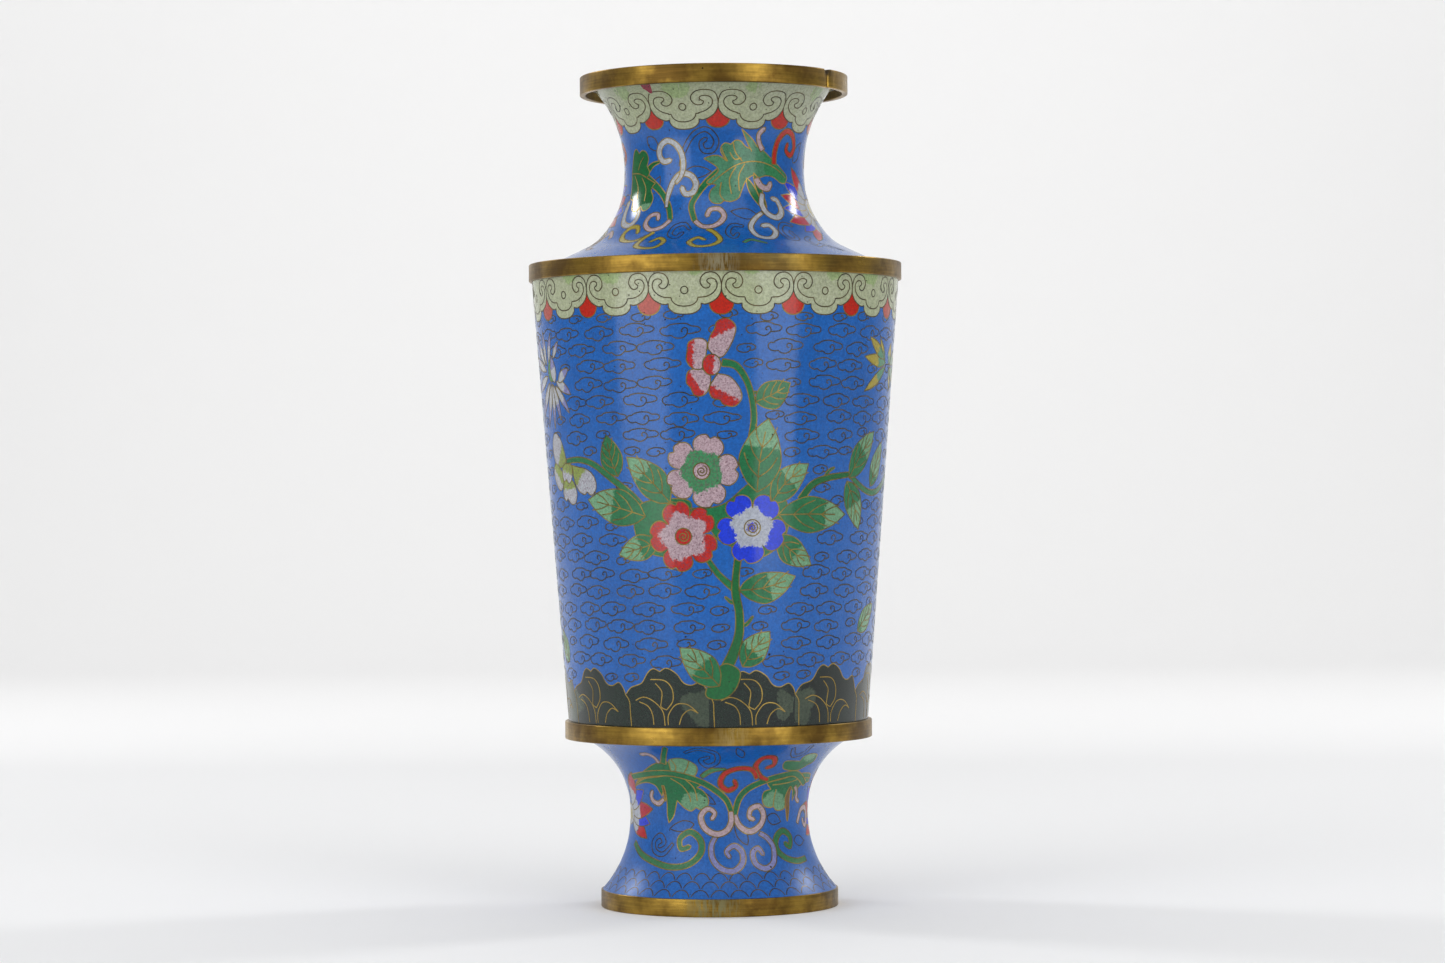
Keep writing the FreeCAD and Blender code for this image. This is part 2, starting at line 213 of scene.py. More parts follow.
# ---------------------------------------------------------------- lines and outlines
def curve(wall, points, closed=False, step=0.45):
    """A smooth line through the points, sampled evenly.  A point with a third value is a corner."""
    knots = [(p[0], p[1]) for p in points]
    corner = [len(p) > 2 for p in points]
    n = len(knots)
    out = []
    for i in range(n if closed else n - 1):
        j = (i + 1) % n
        before = knots[(i - 1) % n] if closed or i else knots[i]
        after = knots[(j + 1) % n] if closed or j < n - 1 else knots[j]
        p1, p2 = np.array(knots[i]), np.array(knots[j])
        m1 = (p2 - np.array(before)) / 2
        m2 = (np.array(after) - p1) / 2
        if corner[i]:
            m1 = (p2 - p1) * 0.9
        if corner[j]:
            m2 = (p2 - p1) * 0.9
        across, along = wall.metric((p1[1] + p2[1]) / 2)
        count = max(2, ceil(hypot((p2[0] - p1[0]) * across, (p2[1] - p1[1]) * along) / step))
        t = np.linspace(0, 1, count, endpoint=False)[:, None]
        out.append(p1 * (2 * t ** 3 - 3 * t ** 2 + 1) + m1 * (t ** 3 - 2 * t ** 2 + t)
                   + p2 * (3 * t ** 2 - 2 * t ** 3) + m2 * (t ** 3 - t ** 2))
    if not closed:
        out.append(np.array([knots[-1]]))
    return np.vstack(out)


def sides(wall, line, width):
    """The two lines that run beside a line, at half the width from it, measured on the surface."""
    across, along = wall.metric(line[:, 1])
    run = np.gradient(line, axis=0)
    flat = np.stack([run[:, 0] * across, run[:, 1] * along], axis=1)
    flat /= np.maximum(np.hypot(flat[:, 0], flat[:, 1]), 1e-9)[:, None]
    half = np.broadcast_to(np.asarray(width, float) / 2, len(line))
    shift = np.stack([-flat[:, 1] * half / across, flat[:, 0] * half / along], axis=1)
    return line + shift, line - shift


def stroke(wall, points, widths):
    """The outline of a brushed stroke along a smooth line, with its width given at even stations."""
    line = curve(wall, points, step=0.5)
    share = np.linspace(0, len(widths) - 1, len(line))
    width = np.interp(share, range(len(widths)), widths)
    left, right = sides(wall, line, width)
    across, along = wall.metric(line[-1][1])
    ahead = (line[-1] - line[-2]) * (across, along)
    tip = line[-1] + ahead / max(hypot(*ahead), 1e-9) * width[-1] * 0.5 / np.array([across, along])
    return np.vstack([left, [tip], right[::-1]])


def ellipse(wall, centre, wide, tall, tilt=0.0, steps=20):
    turns = [2 * pi * i / steps for i in range(steps)]
    c, s = cos(radians(tilt)), sin(radians(tilt))
    return np.array([wall.offset(centre, wide * cos(t) * c - tall * sin(t) * s,
                                 wide * cos(t) * s + tall * sin(t) * c) for t in turns])


def spiral(wall, centre, outer, turns, start, hand=1):
    """A line that winds in to a centre, from a bearing on the sheet."""
    steps = int(16 * turns)
    line = []
    for i in range(steps + 1):
        share = i / steps
        a = radians(start) + hand * 2 * pi * turns * share
        reach = outer * (1 - 0.93 * share)
        line.append(wall.offset(centre, reach * cos(a), reach * sin(a)))
    return np.array(line)


# ---------------------------------------------------------------- paint
def flat_paint(colour):
    """The same enamel all over a cell."""
    return lambda a, z: (colour, colour, 0 * a)


def along_paint(wall, first, second, start, end, change):
    """One enamel running into another on the way from start to end, at a share of that distance."""
    across, along = wall.metric(start[1])
    dx, dz = (end[0] - start[0]) * across, (end[1] - start[1]) * along
    length = hypot(dx, dz)

    def paint(a, z):
        far = ((a - start[0]) * across * dx + (z - start[1]) * along * dz) / length
        return first, second, far - change * length
    return paint


def round_paint(wall, first, second, centre, reach, lobes=0, turn=0.0, wave=0.0):
    """One enamel round a centre, and another beyond a reach that may swell into lobes."""
    across, along = wall.metric(centre[1])

    def paint(a, z):
        x, y = (a - centre[0]) * across, (z - centre[1]) * along
        angle = np.arctan2(y, x) - radians(turn)
        return first, second, np.hypot(x, y) - reach - wave * np.cos(lobes * angle)
    return paint


# linear colours of the enamels
BLUE = (0.006, 0.115, 0.440)
PALE_GREEN = (0.40, 0.425, 0.30)
LIME = (0.235, 0.33, 0.050)
FRESH = (0.30, 0.40, 0.19)
RED = (0.46, 0.011, 0.001)
SOFT_RED = (0.42, 0.075, 0.055)
CRIMSON = (0.24, 0.020, 0.045)
PINK = (0.46, 0.345, 0.380)
COBALT = (0.008, 0.040, 0.64)
WHITE = (0.42, 0.45, 0.49)
LILAC = (0.20, 0.22, 0.47)
YELLOW = (0.38, 0.31, 0.030)
DARK_LEAF = (0.002, 0.130, 0.028)
LEAF = (0.009, 0.165, 0.055)
BRIGHT_GREEN = (0.035, 0.240, 0.090)
PALE_LEAF = (0.170, 0.370, 0.205)
GREY_LEAF = (0.070, 0.250, 0.135)
BROWN = (0.20, 0.090, 0.020)
ROCK = (0.004, 0.006, 0.006)
GREY_ROCK = (0.062, 0.080, 0.052)


# ---------------------------------------------------------------- motifs on the body
def blossom(wall, centre, reach, middles, paint, eye_paint, names):
    """A plum blossom: notched petals in one outline, round an eye with a coiled wire in it.

    The middles are the bearings of the petals on the sheet, in order round the flower."""
    piece, eye_piece, wire = names
    eye = ellipse(wall, centre, 2.45, 2.45)
    wall.draw(spiral(wall, centre, 1.75, 1.9, 70, -1), wire)
    wall.lay(eye, eye_piece, eye_paint, wire)
    outline = []
    cleft = 0.56 * reach
    for i, middle in enumerate(middles):
        before, after = middles[i - 1], middles[(i + 1) % len(middles)]
        low = middle - ((middle - before) % 360) / 2
        high = middle + ((after - middle) % 360) / 2
        for u in np.linspace(-1, 1, 27)[:-1]:
            a = radians(middle + u * (high - middle if u > 0 else middle - low))
            swell = (1 - abs(u) ** 2.6) ** 0.5
            notch = 0.10 * reach * exp(-(u / 0.11) ** 2)
            r = cleft + (reach - cleft) * swell - notch
            outline.append(wall.offset(centre, r * cos(a), r * sin(a)))
    wall.lay(outline, piece, paint, wire)


def leaf(wall, base, tip, width, lean=0.0, change=0.55, light=PALE_LEAF, dark=LEAF, veins=3, names=None):
    """A pointed leaf, dark at its base and pale towards its tip, with a midrib and curved veins."""
    piece, wire = names or ("leaves", "leaf_wires")
    across, along = wall.metric((base[1] + tip[1]) / 2)
    dx, dz = (tip[0] - base[0]) * across, (tip[1] - base[1]) * along
    length = hypot(dx, dz)
    tx, tz = dx / length, dz / length

    def at(share, side):
        bow = lean * sin(pi * share)
        return (base[0] + (dx * share - tz * (side + bow)) / across,
                base[1] + (dz * share + tx * (side + bow)) / along)

    half = width / 2
    left = [at(0.15, half * 0.62), at(0.42, half), at(0.75, half * 0.66)]
    right = [at(0.75, -half * 0.66), at(0.42, -half), at(0.15, -half * 0.62)]
    outline = curve(wall, [(*at(0, 0), 1)] + left + [(*at(1, 0), 1)] + right, closed=True)
    if veins:
        wall.draw(curve(wall, [at(0.02, 0), at(0.4, 0.15), at(0.82, 0)]), wire)
    for i in range(veins):
        for side in (-1, 1):
            start = 0.20 + 0.20 * i
            reach = half * (0.80 - 0.14 * i)
            wall.draw(curve(wall, [at(start, 0), at(start + 0.13, side * reach * 0.62),
                                   at(min(start + 0.30, 0.93), side * reach)]), wire)
    wall.lay(outline, piece, along_paint(wall, dark, light, base, tip, change), wire)


def stem(wall, turn, points, widths, colour, names=("stems", "stem_wires")):
    wall.lay(stroke(wall, turned(points, turn), widths), names[0], flat_paint(colour), names[1])


def turned(points, turn):
    """The same points, further round the vase."""
    return [(p[0] + turn,) + tuple(p[1:]) for p in points]


def rays(wall, turn, shapes, lean, change, light, dark, names):
    """Narrow petals or leaves with no veins, each with a base, a tip and a width."""
    for base, tip, width in shapes:
        base, tip = turned((base, tip), turn)
        leaf(wall, base, tip, width, lean, change, light, dark, 0, names)


def spray(wall, turn, colours):
    """A flowering plum branch.  The other side of the vase carries it again in other colours."""
    petal_1, heart_1, petal_2, heart_2, petal_3, heart_3 = colours

    def on(point):
        return point[0] + turn, point[1]

    wires = "blossom_wires"
    a, b, c = on((-4.8, 132.8)), on((-11.3, 113.6)), on((12.0, 116.0))
    blossom(wall, a, 11.0, [75, 145, 205, 290, 2],
            round_paint(wall, heart_1, petal_1, a, 6.1, 5, 75, -0.5),
            flat_paint(petal_1), ("pink_blossom", "blossom_eyes", wires))
    blossom(wall, b, 10.5, [103, 42, -28, -105, 180][::-1],
            round_paint(wall, heart_2, petal_2, b, 6.8, 5, 33, 0.9),
            flat_paint(petal_2), ("red_blossom", "blossom_eyes", wires))
    blossom(wall, c, 10.6, [125, 185, 255, -12, 55],
            round_paint(wall, heart_3, petal_3, c, 6.0, 5, 125, -0.8),
            round_paint(wall, petal_3, heart_3, c, 1.6), ("blue_blossom", "blossom_eyes", wires))
    small_flower(wall, turn, petal_2, heart_2)
    for base, tip, width, lean, change in LEAVES:
        leaf(wall, on(base), on(tip), width, lean, change)
    for outline, colour in LEAF_MASS:
        wall.lay(curve(wall, turned(outline, turn), closed=True), "leaves", flat_paint(colour), "leaf_wires")
    for points, widths, colour in STEMS:
        stem(wall, turn, points, widths, colour)
    for points in THORNS:
        stem(wall, turn, points, [1.3, 0.5], LEAF)


def petals(wall, turn, shapes, outer, inner, piece, wire):
    """Petals laid one behind another, each with one colour at its edge and another towards its heart."""
    for points, start, end, change in shapes:
        edge, heart = turned((start, end), turn)
        paint = along_paint(wall, outer, inner, edge, heart, change)
        wall.lay(curve(wall, turned(points, turn), closed=True), piece, paint, wire)


def small_flower(wall, turn, outer, inner):
    """The side-on flower at the top: a round eye with four petals behind it."""
    eye = (-1.2 + turn, 164.0)
    wall.lay(ellipse(wall, eye, 2.7, 3.1), "red_blossom",
             along_paint(wall, outer, inner, (-4 + turn, 164), (3 + turn, 164), 0.50), "blossom_wires")
    petals(wall, turn, SMALL_PETALS, outer, inner, "red_blossom", "blossom_wires")


SMALL_PETALS = (
    ([(0.8, 166.2), (-2.2, 168.6), (-1.6, 172.2), (-0.2, 174.4, 1), (0.6, 176.6), (3.4, 177.6),
      (6.2, 175.4), (5.6, 171.5), (3.0, 167.0)], (0.5, 176.5), (4.2, 170.0), 0.50),
    ([(-3.0, 166.2, 1), (-2.6, 170.6), (-5.2, 171.8), (-8.2, 170.6), (-8.8, 168.0, 1), (-9.0, 165.2),
      (-7.2, 163.0), (-4.4, 162.8)], (-9.0, 167.0), (-3.2, 167.0), 0.38),
    ([(-4.6, 162.8), (-8.4, 162.2), (-9.2, 159.0), (-8.0, 157.4, 1), (-6.6, 155.0), (-4.0, 155.0),
      (-2.2, 156.8), (-1.6, 160.6)], (-9.0, 157.0), (-2.2, 161.0), 0.45),
    ([(0.6, 161.4, 1), (4.6, 160.4), (7.6, 157.0), (8.2, 154.0), (6.0, 151.8), (2.6, 152.2),
      (1.4, 153.6, 1), (-1.2, 154.4), (-2.0, 157.2)], (1.0, 152.5), (5.0, 159.5), 0.47),
)
LEAVES = (
    ((13.5, 126.5), (17.0, 148.2), 13.0, 0.5, 0.60),
    ((18.5, 123.5), (31.8, 134.8), 8.6, 1.0, 0.52),
    ((21.0, 119.8), (49.0, 119.7), 10.8, 0.0, 0.66),
    ((20.5, 113.5), (34.2, 104.8), 8.0, -0.8, 0.58),
    ((7.4, 97.6), (28.0, 101.6), 9.2, -1.2, 0.52),
    ((-15.5, 123.5), (-30.6, 137.2), 9.6, -0.6, 0.62),
    ((-24.5, 119.6), (-48.6, 124.6), 10.8, -0.6, 0.54),
    ((-20.0, 112.0), (-35.6, 108.2), 7.6, 0.0, 0.45),
    ((-34.4, 131.4), (-38.4, 143.8), 8.2, 0.6, 1.1),
    ((12.6, 153.0), (24.2, 158.6), 8.4, -0.6, 1.1),
    ((50.2, 130.6), (64.8, 144.6), 8.4, 0.6, 0.55),
    ((49.0, 129.6), (57.4, 115.0), 8.2, 0.6, 0.50),
    ((64.0, 128.0), (73.0, 141.5), 7.5, 0.0, 0.30),
    ((61.0, 84.5), (75.0, 92.4), 7.0, 0.0, 0.20),
    ((-71.5, 75.5), (-79.5, 85.0), 7.0, 0.0, 0.20),
    ((0.6, 69.4), (-13.6, 80.8), 9.0, -0.4, 0.50),
    ((8.8, 75.0), (18.8, 85.4), 8.2, 0.4, 0.42),
)
LEAF_MASS = (
    ([(-19, 124), (-9, 122), (2, 123), (13, 130), (22, 126), (25, 119), (22, 111), (12, 106.4), (6, 110),
      (0, 113), (-4, 118), (-11, 123)], LEAF),
    ([(-9, 124), (-24, 124), (-29, 119), (-26, 110), (-15, 108), (-11, 116)], LEAF),
    ([(-4.5, 66.8), (-1.0, 73.5), (3.0, 76.0), (8.0, 73.5), (6.2, 68.2), (1.2, 65.4)], DARK_LEAF),
)
STEMS = (
    ([(7.2, 107.5), (6.4, 101.5), (6.4, 96.5), (7.6, 91.0), (7.6, 85.0), (6.0, 80.0), (3.4, 75.0),
      (1.0, 70.5)], [2.0, 2.0, 2.4, 2.3, 2.5, 2.8, 3.4, 4.0], DARK_LEAF),
    ([(5.6, 98.4), (3.6, 99.8), (0.2, 102.6), (-3.0, 106.6)], [2.2, 1.8, 1.6, 1.4], LEAF),
    ([(2.0, 164.6), (6.4, 163.6), (9.8, 159.2), (11.6, 153.6), (12.2, 148.0), (11.4, 142.0)],
     [2.3, 1.9, 1.7, 1.7, 1.8, 2.0], LEAF),
    ([(-60, 136.2), (-52, 136.6), (-45, 135.2), (-38, 131.4), (-30, 126.4), (-25, 122)],
     [1.4, 1.7, 1.8, 1.9, 2.0, 2.0], LEAF),
    ([(29.0, 124.0), (33.5, 128.6), (40.0, 130.6), (50.0, 131.6)], [2.4, 2.0, 1.8, 1.5], DARK_LEAF),
    ([(50.0, 131.6), (60.0, 127.0), (70.0, 126.5), (84.0, 131.0)], [1.5, 1.7, 1.8, 1.9], LEAF),
)
THORNS = (
    [(7.6, 87.0), (10.2, 87.6), (12.4, 89.8)],
    [(6.8, 94.0), (4.8, 94.2), (2.8, 95.6)],
    [(38.5, 130.4), (40.2, 132.6), (42.6, 133.6)],
    [(11.6, 155.2), (12.6, 155.8), (13.4, 155.6)],
)


ROSE_PETALS = (
    ([(-60.8, 135.6), (-57.0, 135.0), (-56.8, 131.8), (-58.2, 129.9), (-59.6, 129.6), (-61.0, 130.8, 1),
      (-62.8, 130.2), (-63.7, 132.2), (-63.2, 134.3)], (-60.6, 129.8), (-59.0, 135.4), 0.55),
    ([(-56.6, 135.0, 1), (-52.6, 134.4), (-48.7, 133.8), (-45.6, 132.2), (-44.1, 129.6), (-44.8, 127.0),
      (-46.9, 126.0), (-48.8, 127.0, 1), (-50.4, 126.2), (-53.4, 127.4), (-55.6, 130.4)], (-46.5, 126.5),
     (-55.0, 134.8), 0.60),
    ([(-62.8, 130.6), (-59.6, 130.6), (-56.9, 130.4), (-55.0, 128.2), (-54.7, 125.9), (-56.0, 123.6),
      (-58.6, 123.4), (-61.0, 125.0, 1), (-62.4, 124.3), (-64.0, 126.4)], (-59.5, 123.6), (-60.0, 130.4),
     0.62),
    ([(-69.8, 135.6), (-65.7, 134.4), (-63.2, 132.0), (-63.6, 129.2), (-66.2, 127.4), (-69.5, 129.2),
      (-71.4, 132.6)], (-69.5, 128.0), (-64.2, 133.5), 0.55),
    ([(-66.8, 144.8), (-63.4, 143.0), (-61.2, 139.4), (-60.5, 136.0), (-64.0, 134.4), (-68.6, 135.6),
      (-70.8, 139.4), (-69.6, 143.6)], (-68.5, 142.0), (-61.6, 137.6), 0.66),
)
ASTER_RAYS = (
    ((-64.2, 159.9), (-65.8, 168.0), 4.2),
    ((-61.6, 160.0), (-54.6, 164.0), 3.0),
    ((-63.0, 160.2), (-54.0, 156.1), 3.0),
    ((-64.3, 167.2), (-60.0, 172.2), 2.0),
    ((-68.3, 166.0), (-65.4, 174.6), 2.2),
    ((-70.6, 165.1), (-72.4, 176.0), 2.4),
    ((-64.1, 159.0), (-55.6, 150.6), 2.5),
    ((-65.7, 159.4), (-61.6, 148.6), 2.5),
    ((-66.4, 159.8), (-66.8, 146.0), 2.3),
    ((-67.4, 159.8), (-72.9, 146.5), 2.6),
    ((-68.6, 160.0), (-80.3, 149.4), 2.8),
    ((-72.0, 165.4), (-81.0, 174.8), 2.8),
    ((-71.0, 163.6), (-86.0, 168.4), 2.8),
    ((-70.0, 162.0), (-85.0, 157.6), 2.8),
)
STAR_RAYS = (
    ((69.5, 166.5), (58.1, 172.9), 3.4),
    ((70.6, 166.2), (65.3, 172.7), 2.4),
    ((71.5, 165.4), (55.4, 166.9), 3.8),
    ((71.1, 164.1), (56.0, 156.5), 3.2),
    ((76.0, 164.9), (77.6, 171.6), 4.6),
    ((76.5, 164.2), (78.6, 157.0), 2.8),
    ((77.5, 165.2), (92.0, 169.6), 3.8),
    ((77.5, 164.0), (90.6, 158.4), 3.6),
)


def side_flowers(wall, turn):
    """The flowers between the sprays: a white aster, a yellow star and a pale rose that hangs."""
    heart = (-66.8 + turn, 163.6)
    rays(wall, turn, ASTER_RAYS, 0.2, 0.55, LILAC, WHITE, ("asters", "aster_wires"))
    wall.lay(ellipse(wall, heart, 2.2, 3.4), "asters", flat_paint(BRIGHT_GREEN), "aster_wires")
    rays(wall, turn, STAR_RAYS, 0.2, 0.42, YELLOW, GREY_LEAF, ("stars", "star_wires"))
    petals(wall, turn, ROSE_PETALS, WHITE, LIME, "roses", "rose_wires")


def rocks(wall):
    """Dark rocks along the body's foot, on eleven even pitches, with gilt wires for their folds."""
    count, first = 11, 13.0
    pitch = 360 / count
    crown = [(-0.5, 66.6), (-0.42, 68.0), (-0.28, 69.4), (-0.20, 72.4), (-0.13, 73.7), (-0.05, 72.9, 1),
             (0.03, 73.9), (0.14, 72.3), (0.22, 69.6), (0.31, 68.9), (0.41, 69.9), (0.47, 68.6), (0.5, 66.6)]
    folds = [[(-5.5, 71.3), (0, 71.0), (2.8, 68.6), (3.0, 65.0), (0.5, 62.3)],
             [(-3.6, 70.2), (-1.2, 67.8), (-1.4, 65.0), (-1.6, 63.2), (0.5, 62.3)],
             [(-12, 65.0), (-8.5, 66.0), (-4.5, 64.8), (-1.0, 61.8), (-0.3, 57.6)],
             [(-10.5, 64.6), (-7.0, 63.4), (-5.2, 61.0), (-4.8, 57.8)],
             [(1.0, 57.8), (1.2, 60.8), (4.2, 63.9), (8.5, 63.9), (12.4, 61.4)],
             [(5.2, 57.9), (6.6, 60.8), (9.5, 62.4), (12.4, 61.4)],
             [(-16.4, 66.6), (-14.8, 64.6), (-14.6, 61.0), (-14.4, 57.2)]]
    thin = WIRE * 0.9
    chance = Random(11)
    for i in range(count):
        at = first + pitch * i
        for fold in folds:
            wall.draw(curve(wall, [(at + a, z) for a, z in fold]), "rock_wires", width=thin)
    for i in range(count):
        at = first + pitch * i
        lift = chance.uniform(-0.5, 0.5) + (1.2 if i % 3 == 1 else 0.0)
        top = [(at + p[0] * pitch, p[1] + lift * (abs(p[0]) < 0.45)) + tuple(p[2:]) for p in crown]
        top[0] = top[0] + (1,)
        top[-1] = top[-1] + (1,)
        line = curve(wall, top)
        box = [(at + pitch / 2, BODY_LOW - 1), (at - pitch / 2, BODY_LOW - 1)]
        wall.draw(line, "rock_wires", width=thin)
        patch = (at - pitch * (0.42 if i % 2 else -0.40), 63.4)
        paint = round_paint(wall, GREY_ROCK, ROCK, patch, 4.0 + 1.2 * (i % 3), 3, 40 * i, 1.2)
        wall.lay(np.vstack([line, box]), "rocks", paint)


def shoulder_border(wall):
    lappets(wall, 16, 2.0, BODY_HIGH - 0.2, 12.4, 1.0, "shoulder")
    drops(wall, 16, 2.0, 186.4, 178.7, 3.6, "shoulder")


# One side of a lappet, as shares of its half width and its height down from the rim: the edge from the
# tip up to the curl, the curl, and the line that comes back inside the edge.
LAPPET_EDGE = (
    (0.0, 1.0), (0.20, 0.985), (0.345, 0.93), (0.44, 0.84), (0.45, 0.745, 1), (0.56, 0.765),
    (0.71, 0.725), (0.88, 0.625), (0.985, 0.47), (0.998, 0.31), (0.95, 0.14), (0.85, 0.045),
)
LAPPET_CURL = (
    (0.73, 0.01), (0.56, 0.04), (0.46, 0.13), (0.43, 0.24), (0.48, 0.34), (0.57, 0.39), (0.67, 0.365),
    (0.70, 0.30, 1), (0.62, 0.245), (0.625, 0.185), (0.72, 0.155), (0.825, 0.185), (0.88, 0.27),
    (0.87, 0.38), (0.80, 0.475), (0.70, 0.545), (0.57, 0.59),
)
LAPPET_LINE = ((0.46, 0.60), (0.37, 0.605, 1), (0.335, 0.69), (0.24, 0.765), (0.12, 0.80), (0.0, 0.81))


def lappets(wall, count, first, top, tall, spread, place):
    """Ruyi lappets under a rim.  A spread over 1 pulls their curls in towards the middle."""
    half = 180 / count
    curl = tuple((1 - (1 - p[0]) * spread,) + p[1:] for p in LAPPET_CURL)
    side = LAPPET_EDGE + curl + LAPPET_LINE
    wires = place + "_lappet_wires"
    for i in range(count):
        at = first + half * (2 * i + 1)

        def on(points, hand=1):
            return [(at + hand * p[0] * half, top - p[1] * tall) + tuple(p[2:]) for p in points]

        for hand in (1, -1):
            wall.draw(curve(wall, on(side, hand), step=0.35), wires)
        wall.draw(ellipse(wall, on([(0, 0.43)])[0], 1.1, 1.1, steps=14), wires, closed=True)
        edge = LAPPET_EDGE + curl[:1] + ((curl[0][0], (top - wall.high - 1) / tall),)
        outline = curve(wall, on(edge[:0:-1], -1) + on(edge))
        blotch = (at + (3.5 if i % 2 else -2.0), top + 1)
        wall.lay(outline, place + "_lappets", round_paint(wall, FRESH, PALE_GREEN, blotch, 2.4 + i % 3))


def drops(wall, count, first, top, low, half_width, place):
    """Red beads between the lappets, over a pale strip that fills in above them."""
    tall = top - low
    for i in range(count):
        at = first + 360 / count * i
        shape = ((top - 0.14 * tall, 0.36), (top - 0.38 * tall, 0.84), (top - 0.60 * tall, 1.0),
                 (low + 0.16 * tall, 0.80), (low + 0.03 * tall, 0.40))
        right = [wall.offset((at, z), half_width * share, 0) for z, share in shape]
        left = [(2 * at - a, z) for a, z in right[::-1]]
        outline = curve(wall, [(at, top, 1)] + right + [(at, low)] + left, closed=True)
        colour = SOFT_RED if (i * 5) % 16 in (1, 4, 11, 15) else RED
        wall.lay(outline, place + "_drops", flat_paint(colour), place + "_drop_wires")
        gap = 180 / count
        band = [(at - gap, wall.high + 1), (at + gap, wall.high + 1), (at + gap, top + 0.2 * tall),
                (at + 0.25 * gap, top), (at - 0.25 * gap, top), (at - gap, top + 0.2 * tall)]
        wall.lay(band, place + "_lappets", flat_paint(PALE_GREEN))


CLOUD = (
    (0.95, -0.35), (0.5, -0.15), (0.55, 0.45), (1.2, 0.85), (1.95, 0.4), (2.0, -0.6), (1.35, -1.5),
    (0.2, -2.05), (-1.2, -1.9), (-2.2, -1.25, 1), (-3.3, -1.45), (-4.6, -1.0), (-5.2, 0.05), (-4.6, 0.95),
    (-3.5, 1.05, 1), (-2.5, 1.75), (-0.4, 2.1), (1.7, 1.95), (3.0, 1.35, 1), (4.5, 1.15), (5.3, 0.35),
    (4.7, -0.45), (3.2, -0.85), (1.85, -0.95),
)
PUFF = (
    (0.4, 0.1), (0.7, 0.55), (1.3, 0.2), (1.1, -0.7), (0.1, -1.25), (-1.5, -1.1), (-2.6, -0.3),
    (-2.0, 0.8), (0.0, 1.35), (2.0, 1.1), (2.9, 0.3), (2.3, -0.5), (1.2, -0.6),
)


def clouds(wall):
    """Small wire clouds over all the ground that the motifs leave, in rows on staggered pitches."""
    chance = Random(5)
    row, rows = 5.13, 24
    for j in range(rows):
        z = BODY_LOW + 14.5 + row * j
        if z > BODY_HIGH - 12.0:
            break
        count = 26 if j % 3 else 27
        pitch = float(wall.radius(z)) * 2 * pi / count
        for i in range(count):
            at = (i + 0.5 * (j % 2) + chance.uniform(-0.10, 0.10)) * 360 / count + SEAM + 4
            centre = (at, z + chance.uniform(-0.45, 0.45))
            wide, tall = pitch * chance.uniform(0.80, 0.94) / 10.5, chance.uniform(0.88, 1.04)
            cloud(wall, centre, wide, tall, chance)


def cloud(wall, centre, wide, tall, chance):
    """One cloud, or a smaller puff where motifs leave less room, or nothing where they leave none."""
    room = np.array([wall.offset(centre, 4.6 * wide * cos(t), 2.2 * tall * sin(t))
                     for t in np.linspace(0, 2 * pi, 24)])
    held = sum(inside(room, outline) for outline, *_ in wall.cells).astype(bool)
    piece = "cloud_wires_" + "abcd"[int(((centre[0] - SEAM) % 360) // 90)]
    shape = CLOUD
    if held.mean() > 0.5 or inside([centre], room).sum() == 0:
        return
    if held.mean() > 0.12:
        free = room[~held].mean(axis=0)
        centre = (free[0], free[1])
        shape = PUFF
    points = []
    for p in shape:
        x = p[0] * wide + chance.uniform(-0.13, 0.13)
        y = p[1] * tall + chance.uniform(-0.10, 0.10)
        points.append(wall.offset(centre, x, y) + tuple(p[2:]))
    wall.draw(curve(wall, points, step=0.55), piece, width=WIRE * 1.06)


# ---------------------------------------------------------------- the sheet, cut and wrapped
def cut(wall):
    """Triangles of the sheet, each with the cell in front of it, or -1 for the ground."""
    k = wall.scale
    end = SEAM + 360
    rows = max(2, round(length_of(wall) / wall.grid))
    heights = even_heights(wall, rows)
    columns = round(360 * k / wall.grid)
    bearings = np.linspace(SEAM, end, columns + 1)
    points, edges = [], []

    def loop(outline):
        start, n = len(points), len(outline)
        points.extend((a * k, z) for a, z in outline)
        edges.extend((start + i, start + (i + 1) % n) for i in range(n))

    loop([(a, wall.low) for a in bearings[:-1]] + [(end, z) for z in heights[:-1]]
         + [(a, wall.high) for a in bearings[:0:-1]] + [(SEAM, z) for z in heights[:0:-1]])
    for outline, *_ in wall.cells:
        for turn in (-360, 0, 360):
            line = outline + (turn, 0)
            if line[:, 0].max() > SEAM and line[:, 0].min() < end:
                loop(line)
    for j, z in enumerate(heights[1:-1]):
        shift = 0.5 * (j % 2)
        points.extend(((SEAM + (i + shift) * 360 / columns) * k, z) for i in range(1, columns))
    verts, _, tris, _, _, _ = delaunay_2d_cdt([Vector(p) for p in points], edges, [], 0, 1e-4, False)
    sheet = np.array([(v.x / k, v.y) for v in verts])
    tris = np.array(tris)
    middle = sheet[tris].mean(axis=1)
    kept = (middle[:, 0] > SEAM) & (middle[:, 0] < end)
    kept &= (middle[:, 1] > wall.low) & (middle[:, 1] < wall.high)
    tris, middle = tris[kept], middle[kept]
    front = np.full(len(tris), -1)
    for i in reversed(range(len(wall.cells))):
        front[inside(middle, wall.cells[i][0])] = i
    sheet, tris = weld(sheet, tris, end)
    whole = (tris != np.roll(tris, 1, axis=1)).all(axis=1)
    return sheet, tris[whole], front[whole]


def length_of(wall):
    z = np.linspace(wall.low, wall.high, 400)
    return float(np.hypot(np.diff(z), np.diff(wall.radius(z))).sum())


def even_heights(wall, rows):
    """Heights that are evenly spaced along the profile."""
    z = np.linspace(wall.low, wall.high, 800)
    run = np.concatenate([[0], np.cumsum(np.hypot(np.diff(z), np.diff(wall.radius(z))))])
    return np.interp(np.linspace(0, run[-1], rows + 1), run, z)


